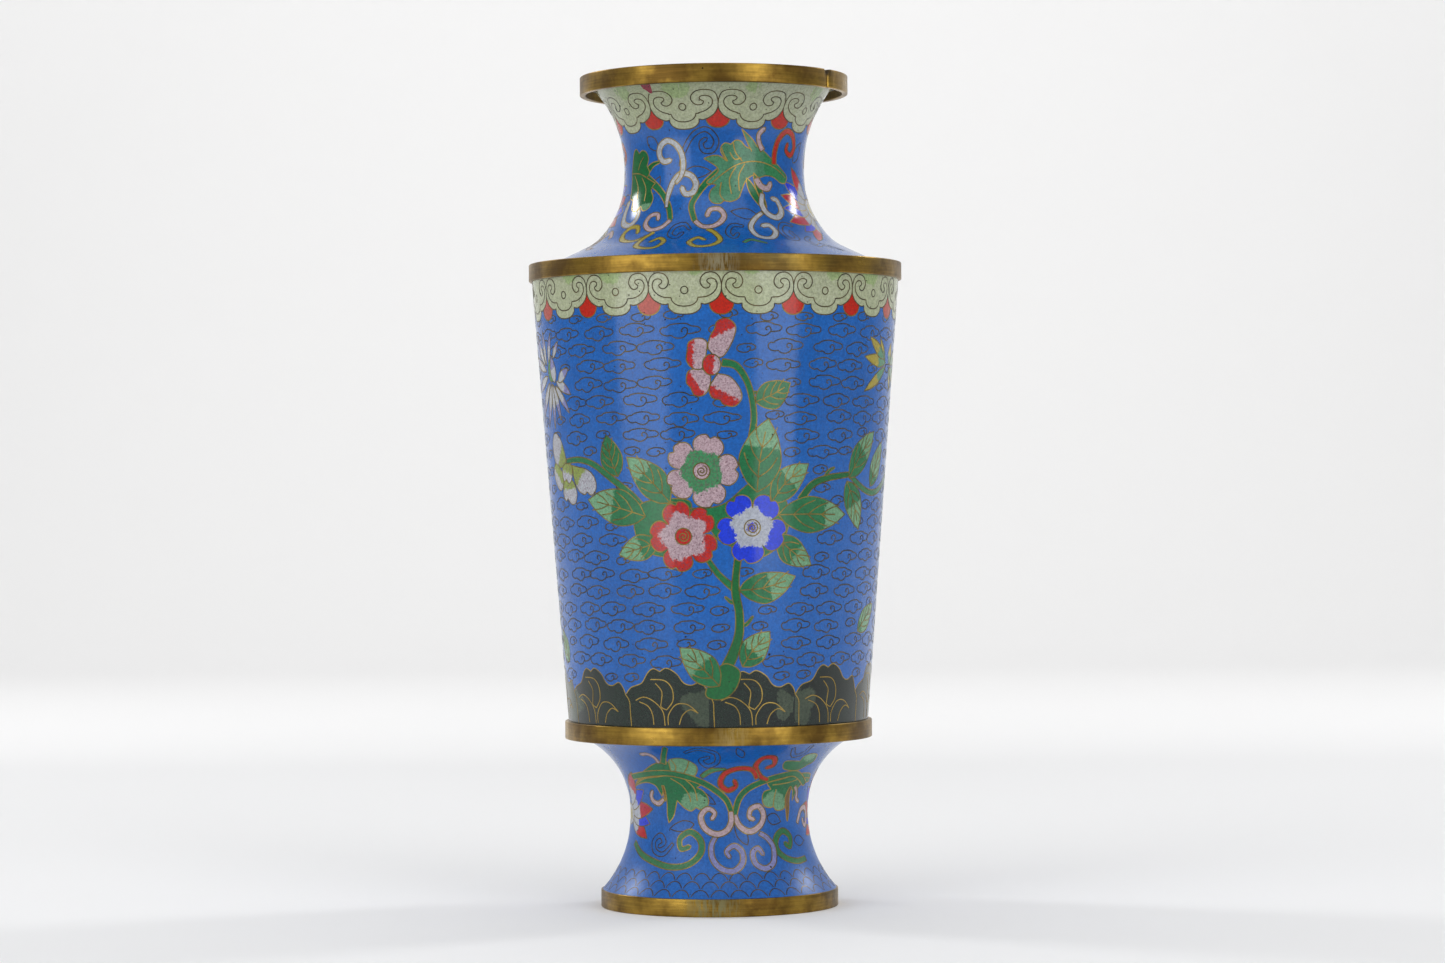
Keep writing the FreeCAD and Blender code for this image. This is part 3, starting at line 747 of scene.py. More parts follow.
def weld(sheet, tris, end):
    """Joins the sheet's two ends, and makes one point of any that nearly touch."""
    keys = {}
    index = np.empty(len(sheet), int)
    place = []
    for i, (a, z) in enumerate(sheet):
        a = a - 360 if a > end - 1e-3 else a
        key = (round(a, 3), round(z, 3))
        if key not in keys:
            keys[key] = len(place)
            place.append((a, z))
        index[i] = keys[key]
    return np.array(place), index[tris]


def smooth_mesh(name, points, faces, normals, material, tints=None):
    """A mesh with its own normals at every corner, and its enamel's colours if it has any."""
    mesh = bpy.data.meshes.new(name)
    mesh.from_pydata(points.tolist(), [], [list(map(int, f)) for f in faces])
    if tints:
        for label, values in tints.items():
            kind = "FLOAT" if values.ndim == 1 else "FLOAT_COLOR"
            layer = mesh.attributes.new(label, kind, "CORNER")
            if values.ndim > 1:
                values = np.hstack([values, np.ones((len(values), 1))])
            layer.data.foreach_set("value" if kind == "FLOAT" else "color", values.astype(np.float32).ravel())
    for polygon in mesh.polygons:
        polygon.use_smooth = True
    mesh.normals_split_custom_set(normals.tolist())
    mesh.materials.append(material)
    piece = add_object(name, mesh)
    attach(piece, "root")
    return piece


def enamel_piece(wall, name, sheet, tris, cells, material):
    """One enamel, wrapped on the wall as closed shells of the enamel's thickness."""
    used, local = np.unique(tris, return_inverse=True)
    tris = local.reshape(-1, 3)
    a, z = sheet[used, 0], sheet[used, 1]
    outer, normal = wall.place(a, z)
    inner, _ = wall.place(a, z, -ENAMEL)
    count = len(used)
    first, second, share = corner_paint(wall, sheet[used][tris], tris, cells)
    edges = {}
    for t, tri in enumerate(tris):
        for c in range(3):
            edges[(tri[c], tri[(c + 1) % 3])] = (t, c)
    rim = [(p, q, t, c) for (p, q), (t, c) in edges.items() if (q, p) not in edges]
    faces = [tuple(t) for t in tris] + [tuple(t[::-1] + count) for t in tris]
    faces += [(q, p, p + count, q + count) for p, q, t, c in rim]
    side = np.array([np.cross(normal[p], outer[q] - outer[p]) for p, q, t, c in rim])
    side = -side / np.maximum(np.linalg.norm(side, axis=1), 1e-12)[:, None]
    normals = np.vstack([normal[tris].reshape(-1, 3), -normal[tris[:, ::-1]].reshape(-1, 3),
                         np.repeat(side, 4, axis=0)])

    def corners(values):
        shape = values.shape[2:]
        walls = np.array([(values[t, (c + 1) % 3], values[t, c], values[t, c], values[t, (c + 1) % 3])
                          for p, q, t, c in rim])
        return np.concatenate([values.reshape((-1,) + shape), values[:, ::-1].reshape((-1,) + shape),
                               walls.reshape((-1,) + shape)])

    tints = {"first_tint": corners(first), "second_tint": corners(second), "changeover": corners(share)}
    piece = smooth_mesh(name, np.vstack([outer, inner]), faces, normals, material, tints)
    return piece


def corner_paint(wall, places, tris, cells):
    """The two colours and the changeover at each corner of each triangle."""
    n = len(tris)
    first, second, share = np.empty((n, 3, 3)), np.empty((n, 3, 3)), np.empty((n, 3))
    for cell in np.unique(cells):
        mine = cells == cell
        a, z = places[mine][:, :, 0], places[mine][:, :, 1]
        if cell < 0:
            one, two, change = BLUE, BLUE, 0 * a
        else:
            outline, _, paint = wall.cells[cell]
            a = a - 360 * np.round((a - outline[:, 0].mean()) / 360)
            one, two, change = paint(a, z)
        first[mine], second[mine], share[mine] = one, two, change
    return first, second, share


def wire_piece(wall, name, lines, material):
    """Wires as three-sided bars: a level top that follows the wall, and two sides that meet inside."""
    points, faces, normals = [], [], []
    base = 0
    for line, width in lines:
        left, right = sides(wall, line, width)
        up_left, n_left = wall.place(left[:, 0], left[:, 1], WIRE_PROUD)
        up_right, n_right = wall.place(right[:, 0], right[:, 1], WIRE_PROUD)
        deep, n_deep = wall.place(line[:, 0], line[:, 1], -WIRE_DEEP)
        n = len(line)
        points.append(np.hstack([up_left, up_right, deep]).reshape(-1, 3))
        i = base + 3 * np.arange(n - 1)
        l0, r0, d0, l1, r1, d1 = i, i + 1, i + 2, i + 3, i + 4, i + 5
        top = np.stack([l0, r0, r1, l1], axis=1)
        west = np.stack([l0, l1, d1, d0], axis=1)
        east = np.stack([r1, r0, d0, d1], axis=1)
        faces.append(np.vstack([top, west, east]))
        side_l = unit(up_left - up_right) * 0.8 - n_deep * 0.6
        side_r = unit(up_right - up_left) * 0.8 - n_deep * 0.6
        normals.append(np.stack([n_left[:-1], n_right[:-1], n_right[1:], n_left[1:]], axis=1).reshape(-1, 3))
        normals.append(np.stack([side_l[:-1], side_l[1:], side_l[1:], side_l[:-1]], axis=1).reshape(-1, 3))
        normals.append(np.stack([side_r[1:], side_r[:-1], side_r[:-1], side_r[1:]], axis=1).reshape(-1, 3))
        base += 3 * n
    caps, cap_normals = wire_caps(lines, points)
    quads = [tuple(f) for block in faces for f in block]
    piece = smooth_mesh(name, np.vstack(points), quads + caps, np.vstack(normals + [cap_normals]), material)
    return piece


def wire_caps(lines, points):
    """The triangles that close the two ends of each wire, and their normals."""
    caps, normals = [], []
    base = 0
    for (line, _), block in zip(lines, points):
        last = base + 3 * (len(line) - 1)
        for corner, other, start in (((base, base + 2, base + 1), 3, 0),
                                     ((last, last + 1, last + 2), -3, len(block) - 3)):
            caps.append(corner)
            away = block[start] - block[start + other]
            normals += [away / max(np.linalg.norm(away), 1e-12)] * 3
        base += 3 * len(line)
    return caps, np.array(normals)


def unit(v):
    return v / np.maximum(np.linalg.norm(v, axis=-1, keepdims=True), 1e-12)


# ---------------------------------------------------------------- materials
def new_material(name):
    material = bpy.data.materials.new(name)
    material.use_nodes = True
    nodes, links = material.node_tree.nodes, material.node_tree.links
    shader = nodes["Principled BSDF"]
    return material, nodes, links, shader


def noise(nodes, links, scale, detail=2.0, rough=0.5, stretch=None):
    """Noise in object space, with its scale in cycles per metre."""
    place = nodes.new("ShaderNodeTexCoord").outputs["Object"]
    if stretch:
        mapping = nodes.new("ShaderNodeMapping")
        mapping.inputs["Scale"].default_value = stretch
        links.new(place, mapping.inputs["Vector"])
        place = mapping.outputs["Vector"]
    texture = nodes.new("ShaderNodeTexNoise")
    texture.inputs["Scale"].default_value = scale
    texture.inputs["Detail"].default_value = detail
    texture.inputs["Roughness"].default_value = rough
    links.new(place, texture.inputs["Vector"])
    return texture.outputs["Fac"]


def ramp(nodes, links, value, low, high, start=0.0, end=1.0):
    """Maps a value from one range to another, held at the ends."""
    node = nodes.new("ShaderNodeMapRange")
    node.inputs["From Min"].default_value = low
    node.inputs["From Max"].default_value = high
    node.inputs["To Min"].default_value = start
    node.inputs["To Max"].default_value = end
    links.new(value, node.inputs["Value"])
    return node.outputs["Result"]


def mix(nodes, links, share, first, second, blend="MIX"):
    """Mixes two colours, each a socket or a constant."""
    node = nodes.new("ShaderNodeMix")
    node.data_type, node.blend_type = "RGBA", blend
    put(links, share, node.inputs["Factor"])
    put(links, first, node.inputs[6])
    put(links, second, node.inputs[7])
    return node.outputs[2]


def put(links, value, socket):
    if isinstance(value, bpy.types.NodeSocket):
        links.new(value, socket)
    elif isinstance(value, tuple):
        socket.default_value = value + (1.0,)
    else:
        socket.default_value = value


def calc(nodes, links, operation, first, second=0.0):
    node = nodes.new("ShaderNodeMath")
    node.operation = operation
    put(links, first, node.inputs[0])
    put(links, second, node.inputs[1])
    return node.outputs[0]


def attribute(nodes, name, output):
    node = nodes.new("ShaderNodeAttribute")
    node.attribute_name = name
    return node.outputs[output]


def pits(nodes, links, spacing, size, share):
    """Small round holes, one in some of the cells of a grid of that spacing."""
    texture = nodes.new("ShaderNodeTexVoronoi")
    texture.inputs["Scale"].default_value = 1 / (spacing * MM)
    links.new(nodes.new("ShaderNodeTexCoord").outputs["Object"], texture.inputs["Vector"])
    split = nodes.new("ShaderNodeSeparateColor")
    links.new(texture.outputs["Color"], split.inputs["Color"])
    here = calc(nodes, links, "LESS_THAN", split.outputs["Red"], share)
    wide = ramp(nodes, links, split.outputs["Green"], 0.0, 1.0, 0.45 * size / spacing, size / spacing)
    edge = calc(nodes, links, "SUBTRACT", wide, texture.outputs["Distance"])
    depth = ramp(nodes, links, edge, 0.0, 0.08 * size / spacing + 0.02)
    return calc(nodes, links, "MULTIPLY", depth, here)


def enamel(name, speck_colour, speck, cloudiness):
    """Fused glass ground level: speckled, a little cloudy, pitted, with a soft polish."""
    material, nodes, links, shader = new_material(name)
    ragged = noise(nodes, links, 900, 3, 0.7)
    ragged = ramp(nodes, links, ragged, 0.3, 0.7, -0.75, 0.75)
    change = calc(nodes, links, "ADD", attribute(nodes, "changeover", "Fac"), ragged)
    share = ramp(nodes, links, change, -0.25, 0.25)
    colour = mix(nodes, links, share, attribute(nodes, "first_tint", "Color"),
                 attribute(nodes, "second_tint", "Color"))
    cloudy = ramp(nodes, links, noise(nodes, links, 55, 4, 0.6), 0.32, 0.68, 0.0, cloudiness)
    colour = mix(nodes, links, cloudy, colour, speck_colour)
    grain = ramp(nodes, links, noise(nodes, links, 1900, 3, 0.75), 0.46, 0.66, 0.0, speck)
    colour = mix(nodes, links, grain, colour, speck_colour)
    light = ramp(nodes, links, noise(nodes, links, 1300, 2, 0.7), 0.35, 0.65, 0.82, 1.16)
    colour = mix(nodes, links, 1.0, colour, gray(nodes, links, light), "MULTIPLY")
    small = pits(nodes, links, 1.5, 0.25, 0.26)
    large = pits(nodes, links, 5.0, 0.46, 0.18)
    hole = calc(nodes, links, "MAXIMUM", small, large)
    colour = mix(nodes, links, hole, colour, (0.022, 0.017, 0.012))
    links.new(colour, shader.inputs["Base Color"])
    worn = ramp(nodes, links, noise(nodes, links, 160, 4, 0.65), 0.3, 0.75, 0.11, 0.22)
    height = nodes.new("ShaderNodeSeparateXYZ")
    links.new(nodes.new("ShaderNodeTexCoord").outputs["Object"], height.inputs["Vector"])
    rubbed = ramp(nodes, links, height.outputs["Z"], 0.030, 0.045, 0.20, 0.0)
    worn = calc(nodes, links, "ADD", worn, rubbed)
    links.new(calc(nodes, links, "MAXIMUM", worn, hole), shader.inputs["Roughness"])
    shader.inputs["Specular IOR Level"].default_value = 0.44
    relief(nodes, links, shader, hole)
    return material


def gray(nodes, links, value):
    """A grey of that value."""
    node = nodes.new("ShaderNodeCombineColor")
    for channel in ("Red", "Green", "Blue"):
        links.new(value, node.inputs[channel])
    return node.outputs["Color"]


def bump(nodes, links, height, strength, distance, under=None, invert=False):
    """A bump of that distance in mm, laid over another, as a normal."""
    node = nodes.new("ShaderNodeBump")
    node.invert = invert
    node.inputs["Strength"].default_value = strength
    node.inputs["Distance"].default_value = distance * MM
    links.new(height, node.inputs["Height"])
    if under:
        links.new(under, node.inputs["Normal"])
    return node.outputs["Normal"]


def relief(nodes, links, shader, hole):
    """The uneven polish of hand grinding, and the pits."""
    wave = bump(nodes, links, noise(nodes, links, 95, 2, 0.5), 0.30, 0.25)
    fine = bump(nodes, links, noise(nodes, links, 900, 3, 0.6), 0.16, 0.03, wave)
    links.new(bump(nodes, links, hole, 0.6, 0.15, fine, True), shader.inputs["Normal"])


def gilt_wire(name, colour, dark, amount, metallic):
    """Fine gilt wire, ground flat and browned in places."""
    material, nodes, links, shader = new_material(name)
    patina = ramp(nodes, links, noise(nodes, links, 260, 4, 0.65), 0.35, 0.65, 0.0, amount)
    links.new(mix(nodes, links, patina, colour, dark), shader.inputs["Base Color"])
    shader.inputs["Metallic"].default_value = metallic
    rough = ramp(nodes, links, noise(nodes, links, 700, 2), 0.3, 0.7, 0.26, 0.46)
    links.new(rough, shader.inputs["Roughness"])
    return material


def spot(nodes, links, bearing, radius, height, reach):
    """One near a place on a rim, falling to nothing at a reach, all in mm."""
    place = nodes.new("ShaderNodeVectorMath")
    place.operation = "DISTANCE"
    links.new(nodes.new("ShaderNodeTexCoord").outputs["Object"], place.inputs[0])
    turn = radians(bearing)
    place.inputs[1].default_value = (radius * sin(turn) * MM, -radius * cos(turn) * MM, height * MM)
    return ramp(nodes, links, place.outputs["Value"], 0.0, reach * MM, 1.0, 0.0)


# rubbed places on the rims: the rim, the bearing, the reach in mm, and the colour
RIM_SPOTS = (
    ("shoulder_ring", 0.5, 7.5, (0.34, 0.30, 0.19)),
    ("waist_ring", 5.0, 6.0, (0.42, 0.30, 0.11)),
    ("foot_ring", -3.0, 10.0, (0.25, 0.24, 0.12)),
)


def rim_brass(name):
    """Old brass: turned round, with brown patina in patches, pinholes, and rubbed places."""
    material, nodes, links, shader = new_material(name)
    turned_marks = noise(nodes, links, 60, 5, 0.7, (1.0, 1.0, 26.0))
    blotch = noise(nodes, links, 70, 5, 0.62)
    patina = ramp(nodes, links, blotch, 0.36, 0.60)
    base = mix(nodes, links, patina, (0.385, 0.238, 0.040), (0.140, 0.078, 0.014))
    green = ramp(nodes, links, noise(nodes, links, 34, 3, 0.6), 0.58, 0.72, 0.0, 0.6)
    base = mix(nodes, links, green, base, (0.110, 0.090, 0.034))
    lines = ramp(nodes, links, turned_marks, 0.40, 0.62, 0.80, 1.15)
    base = mix(nodes, links, 1.0, base, gray(nodes, links, lines), "MULTIPLY")
    scratch = ramp(nodes, links, noise(nodes, links, 420, 3, 0.7, (3.0, 1.0, 0.4)), 0.42, 0.56)
    for node, bearing, reach, colour in RIM_SPOTS:
        middle = (top_of(node) + foot_of(node)) / 2
        near = spot(nodes, links, bearing, radius_of(node), middle, reach)
        worn = calc(nodes, links, "MULTIPLY", near, scratch)
        base = mix(nodes, links, worn, base, colour)
    torn = spot(nodes, links, CRACK + 0.6, radius_of("mouth_rim") - 1.5, HEIGHT - 0.8, 3.4)
    base = mix(nodes, links, torn, base, (0.030, 0.024, 0.018))
    hole = pits(nodes, links, 3.4, 0.32, 0.16)
    base = mix(nodes, links, hole, base, (0.02, 0.014, 0.008))
    links.new(base, shader.inputs["Base Color"])
    shader.inputs["Metallic"].default_value = 0.9
    links.new(ramp(nodes, links, blotch, 0.3, 0.7, 0.24, 0.46), shader.inputs["Roughness"])
    turning = bump(nodes, links, turned_marks, 0.35, 0.05)
    dents = noise(nodes, links, 130, 3, 0.5)
    links.new(bump(nodes, links, dents, 0.5, 0.4, turning), shader.inputs["Normal"])
    return material


def plain_metal(name, colour, dark):
    """Copper or solder, dull and stained."""
    material, nodes, links, shader = new_material(name)
    stain = ramp(nodes, links, noise(nodes, links, 90, 4, 0.6), 0.35, 0.65)
    links.new(mix(nodes, links, stain, colour, dark), shader.inputs["Base Color"])
    shader.inputs["Metallic"].default_value = 0.9
    rough = ramp(nodes, links, noise(nodes, links, 300, 3), 0.3, 0.7, 0.35, 0.6)
    links.new(rough, shader.inputs["Roughness"])
    return material


def counter_enamel(name):
    """The plain enamel inside: turquoise, orange-peeled and pitted."""
    material, nodes, links, shader = new_material(name)
    cloud_share = ramp(nodes, links, noise(nodes, links, 80, 4, 0.6), 0.35, 0.65)
    hole = pits(nodes, links, 4.0, 0.5, 0.2)
    colour = mix(nodes, links, cloud_share, (0.030, 0.210, 0.270), (0.020, 0.150, 0.230))
    links.new(mix(nodes, links, hole, colour, (0.02, 0.02, 0.02)), shader.inputs["Base Color"])
    rough = ramp(nodes, links, noise(nodes, links, 400, 3), 0.3, 0.7, 0.12, 0.30)
    links.new(rough, shader.inputs["Roughness"])
    relief(nodes, links, shader, hole)
    return material


# ---------------------------------------------------------------- scrolls on the neck
SCROLL = [1.0, 1.7, 1.7, 1.7, 1.9, 1.5]
THIN = [0.9, 1.4, 1.5, 1.5, 1.6, 1.2]
NECK_STROKES = (
    ([(-24.5, 219.6), (-21.2, 221.6), (-19.6, 224.8), (-20.6, 228.4), (-24.2, 231.2), (-30, 232.5),
      (-35.4, 230.8), (-36.4, 228.2), (-33.2, 226.3), (-28.6, 226.6)], SCROLL, WHITE),
    ([(-28.6, 212.2), (-29.0, 215.4), (-26.8, 219.6), (-21.4, 222.3), (-14.6, 221.8), (-11.2, 219.2),
      (-13.0, 216.6), (-17.6, 216.2), (-20.0, 218.2)], SCROLL, WHITE),
    ([(-21.5, 224.5), (-19.0, 229.2), (-12.4, 234.0), (-4.4, 235.4), (1.4, 232.4), (-0.6, 229.4),
      (-6.2, 229.2), (-7.8, 231.4), (-5.0, 232.6)], THIN, BLUE),
    ([(-10.4, 207.8), (-5.6, 205.9), (0.6, 206.3), (5.2, 208.9), (3.0, 211.3), (-2.2, 211.2),
      (-4.0, 209.3)], [1.5, 1.6, 1.7, 1.6, 1.4], PINK),
    ([(-24.0, 208.3), (-28.0, 206.0), (-34.0, 205.4), (-39.0, 207.4), (-37.8, 209.8), (-33.2, 210.2),
      (-31.6, 208.6)], [1.4, 1.6, 1.6, 1.5, 1.3], PINK),
    ([(27.0, 221.0), (30.0, 218.6), (34.6, 218.0), (37.4, 219.6)], [2.0, 2.1, 1.9, 1.4], PINK),
    ([(30.4, 216.4), (28.6, 213.2), (30.6, 210.2), (36.0, 209.0), (41.0, 211.0), (40.2, 214.2),
      (36.8, 214.9)], [1.5, 1.9, 2.0, 2.0, 1.8, 1.4], WHITE),
    ([(27.4, 210.4), (22.0, 208.4), (18.4, 205.6), (20.6, 202.8), (26.6, 202.4), (31.0, 204.4),
      (29.0, 206.4), (25.0, 206.2)], [1.2, 1.6, 1.8, 1.8, 1.5], WHITE),
    ([(32.0, 229.4), (29.4, 231.4), (28.4, 234.0), (31.6, 235.8)], [1.8, 1.4, 1.4, 1.5], PINK),
    ([(41.0, 225.4), (41.4, 229.0), (44.0, 233.0), (50.0, 235.6), (57.0, 234.4), (60.4, 231.0),
      (56.6, 228.6), (51.8, 229.8), (52.6, 231.8)], [1.7, 1.8, 1.8, 1.8, 1.7, 1.3], RED),
    ([(-30.6, 204.6), (-34.4, 202.6), (-33.4, 200.2), (-28.1, 199.2), (-23.5, 199.5), (-22.2, 201.3),
      (-25.6, 202.5), (-28.6, 201.4)], [1.3, 1.7, 1.8, 1.7, 1.6, 1.6, 1.3], YELLOW),
    ([(-34.0, 203.4), (-38.8, 201.9), (-46.8, 202.5), (-50.7, 204.5), (-48.6, 206.4), (-43.4, 206.5),
      (-40.9, 204.7)], [1.2, 1.5, 1.7, 1.8, 1.7, 1.6, 1.3], YELLOW),
    ([(-3.6, 205.2), (0.2, 203.8), (2.4, 201.6), (-1.0, 199.8), (-7.0, 199.4), (-10.6, 200.9),
      (-7.6, 202.4), (-4.4, 201.6)], [1.4, 1.7, 1.7, 1.7, 1.3], YELLOW),
    ([(12.0, 200.6), (16.0, 201.6), (21.6, 200.5)], [1.0, 1.6, 0.8], BRIGHT_GREEN),
    ([(-62.9, 215.0), (-62.6, 211.6), (-58.7, 208.4), (-51.1, 207.2), (-47.8, 209.2), (-48.8, 212.0)],
     [1.4, 1.7, 1.9, 1.8, 1.6, 1.2], WHITE),
    ([(-96.0, 226.0), (-90.0, 231.0), (-82.0, 233.0), (-76.0, 230.0), (-80.0, 227.4), (-84.0, 229.0)],
     [1.6, 1.8, 1.8, 1.7, 1.3], RED),
    ([(-92.0, 203.0), (-84.0, 201.0), (-76.0, 202.0), (-74.0, 205.0), (-79.0, 206.4), (-82.0, 204.8)],
     [1.3, 1.5, 1.5, 1.5, 1.2], YELLOW),
    ([(-60.0, 203.6), (-66.0, 205.6), (-71.0, 203.4), (-68.0, 200.8), (-62.0, 200.4)],
     [1.3, 1.5, 1.5, 1.5, 1.2], PINK),
    ([(-12.0, 205.0), (-15.6, 206.8), (-20.4, 206.0), (-21.6, 203.8), (-18.0, 202.6), (-15.6, 204.0)],
     THIN, BLUE),
    ([(14.6, 206.0), (9.0, 206.2), (6.4, 204.0), (8.6, 202.4), (11.0, 203.6)], THIN, BLUE),
    ([(44.0, 206.6), (38.0, 207.0), (34.4, 204.8), (36.6, 202.2), (41.0, 202.6), (40.0, 204.6)], THIN,
     BLUE),
    ([(60.0, 199.2), (52.0, 200.8), (46.6, 200.2), (46.0, 202.2), (50.0, 203.0)], THIN, BLUE),
)
NECK_STEMS = (
    ([(9.5, 225.4), (2.0, 222.4), (-5.0, 219.4), (-10.4, 215.8), (-13.2, 212.4), (-10.4, 207.8)],
     [1.4, 2.2, 1.9, 1.7, 1.7, 1.5], LEAF),
    ([(-62, 224.2), (-52, 222.8), (-43, 220.4), (-34, 217.0), (-27.4, 212.6), (-24.2, 208.4)],
     [2.6, 2.8, 2.3, 1.8, 1.7, 1.5], LEAF),
    ([(-47.0, 223.8), (-42, 225.6), (-36.6, 226.3)], [2.2, 1.4, 0.6], DARK_LEAF),
)
NECK_LEAF = [
    (-6.3, 226.8, 1), (-1.6, 227.6), (3.6, 227.5), (8.2, 225.9, 1), (4.6, 228.4), (4.4, 230.2),
    (6.9, 231.4), (10.4, 231.0, 1), (13.4, 232.2), (16.8, 232.0), (19.6, 230.6), (22.9, 229.8, 1),
    (17.0, 235.6, 1), (24.0, 232.8), (28.5, 230.3), (33.0, 229.2), (38.5, 227.2), (46.2, 224.6),
    (52.4, 222.0), (50.3, 219.9, 1), (46.0, 219.9), (40.0, 221.5), (34.0, 221.8), (28.6, 221.0, 1),
    (26.5, 222.2, 1), (20.4, 220.4), (16.5, 216.7), (14.5, 214.8), (10.0, 213.7), (5.6, 213.9, 1),
    (3.1, 213.0), (-1.2, 213.4), (-3.1, 215.2), (-1.9, 217.3), (1.0, 218.8), (-4.6, 219.6), (2.6, 223.4),
]
NECK_VEINS = (
    [(51.0, 221.6), (44.0, 223.8), (34.0, 225.6), (24.0, 226.0), (14.0, 224.8), (5.0, 222.0),
     (-3.0, 218.6)],
    [(4.8, 230.0), (6.0, 228.2), (8.6, 226.0)],
    [(12.0, 231.6), (13.6, 228.6), (18.0, 226.0)],
    [(17.4, 227.0), (13.0, 226.6), (10.0, 228.6)],
    [(14.0, 224.4), (9.6, 220.6), (10.4, 216.0)],
    [(19.6, 225.2), (15.6, 221.6), (15.4, 217.0)],
    [(5.8, 214.0), (3.4, 216.0), (4.4, 219.6)],
    [(24.4, 229.0), (20.6, 232.0), (18.2, 234.4)],
    [(-60.8, 222.9), (-55.8, 219.4), (-54.2, 215.5)],
    [(-52.3, 222.0), (-47.4, 218.6), (-46.6, 214.7)],
    [(-56.4, 224.4), (-54.0, 226.6), (-50.4, 228.2)],
)
NECK_SPIKES = (((20.6, 221.0), (28.8, 211.4), 2.4), ((25.6, 222.6), (31.6, 212.0), 1.9))
NECK_LEFT_LEAVES = (
    [(-64.8, 223.6, 1), (-63.0, 227.4), (-60.6, 230.0), (-57.4, 230.8), (-54.8, 229.4, 1), (-51.4, 230.2),
     (-47.6, 229.6), (-45.8, 227.6), (-47.2, 225.4, 1), (-45.0, 223.4), (-47.1, 221.9, 1),
     (-55.4, 223.3)],
    [(-64.8, 223.6, 1), (-55.4, 223.3), (-47.8, 221.9), (-39.6, 220.0, 1), (-42.4, 218.2), (-39.6, 215.3),
     (-41.0, 212.5), (-45.0, 211.6), (-48.6, 213.2, 1), (-52.0, 211.6), (-56.6, 212.6), (-58.6, 215.4, 1),
     (-62.4, 216.4)],
)
NECK_GHOSTS = (
    ((-45.0, 234.0), (-37.0, 229.6), 3.6),
    ((-19.0, 222.6), (-1.6, 222.9), 3.6),
    ((24.0, 209.4), (9.0, 210.6), 3.8),
    ((-42.0, 216.6), (-36.0, 222.0), 3.0),
    ((60.0, 226.4), (70.0, 233.0), 3.4),
    ((-72.0, 215.0), (-62.0, 216.6), 3.4),
)
NECK_LOTUS_TIPS = (
    (-20.0, 12.4, 0), (-29.0, 7.8, 1), (-33.5, 3.6, 0), (-34.5, -0.4, 1), (-34.0, -4.8, 0),
    (-26.5, -7.6, 1), (-24.0, -10.6, 0),
)


def lotus(wall, centre, tips, eye, heart, rise, full, lean):
    """A side-on lotus: red and blue petals that fan out to one side and its mirror, round a yellow heart."""
    names = wall.name + "_lotuses", wall.name + "_lotus_wires"
    wall.lay(ellipse(wall, centre, *eye), names[0], round_paint(wall, YELLOW, WHITE, centre, heart), names[1])
    for right, up, blue in tips + tuple((-a, z, b) for a, z, b in tips):
        tip = centre[0] + right, centre[1] + up
        base = centre[0] + right * 0.18, centre[1] + up * rise
        length = hypot((tip[0] - base[0]) * wall.scale, tip[1] - base[1])
        leaf(wall, base, tip, length * full, lean, 0.45, COBALT if blue else RED, WHITE, 0, names)


def scroll_strokes(wall, turn, strokes):
    """Scrolls in coloured enamel, and others in wire only, which hold the ground's blue."""
    for points, widths, colour in strokes:
        kinds = ("_ground_enamel", "_ghost_wires") if colour is BLUE else ("_scrolls", "_scroll_wires")
        stem(wall, turn, points, widths, colour, [wall.name + kind for kind in kinds])


def ghost_leaves(wall, turn, shapes):
    """Leaves in wire only."""
    names = wall.name + "_ground_enamel", wall.name + "_ghost_wires"
    rays(wall, turn, shapes, 0, 2, BLUE, BLUE, names)


def neck_scrolls(wall, turn):
    """A drooping leaf with curls round it, a smaller one to its left, and a lotus beyond."""
    names = ("neck_leaves", "neck_leaf_wires")
    scroll_strokes(wall, turn, NECK_STROKES)
    rays(wall, turn, NECK_SPIKES, 0, 2, PALE_LEAF, LEAF, names)
    for vein in NECK_VEINS:
        wall.draw(curve(wall, turned(vein, turn)), names[1])
    paint = along_paint(wall, BRIGHT_GREEN, GREY_LEAF, (50 + turn, 222), (20 + turn, 222), 0.55)
    wall.lay(curve(wall, turned(NECK_LEAF, turn), closed=True), names[0], paint, names[1])
    paint = along_paint(wall, DARK_LEAF, PALE_LEAF, (-50 + turn, 222), (-48 + turn, 212), 0.85)
    for outline in NECK_LEFT_LEAVES:
        wall.lay(curve(wall, turned(outline, turn), closed=True), names[0], paint, names[1])
    for points, widths, colour in NECK_STEMS:
        stem(wall, turn, points, widths, colour, names)
    lotus(wall, (78 + turn, 212.6), NECK_LOTUS_TIPS, (4.6, 3.6), 2.6, 0.22, 0.36, 0.5)
    ghost_leaves(wall, turn, NECK_GHOSTS)


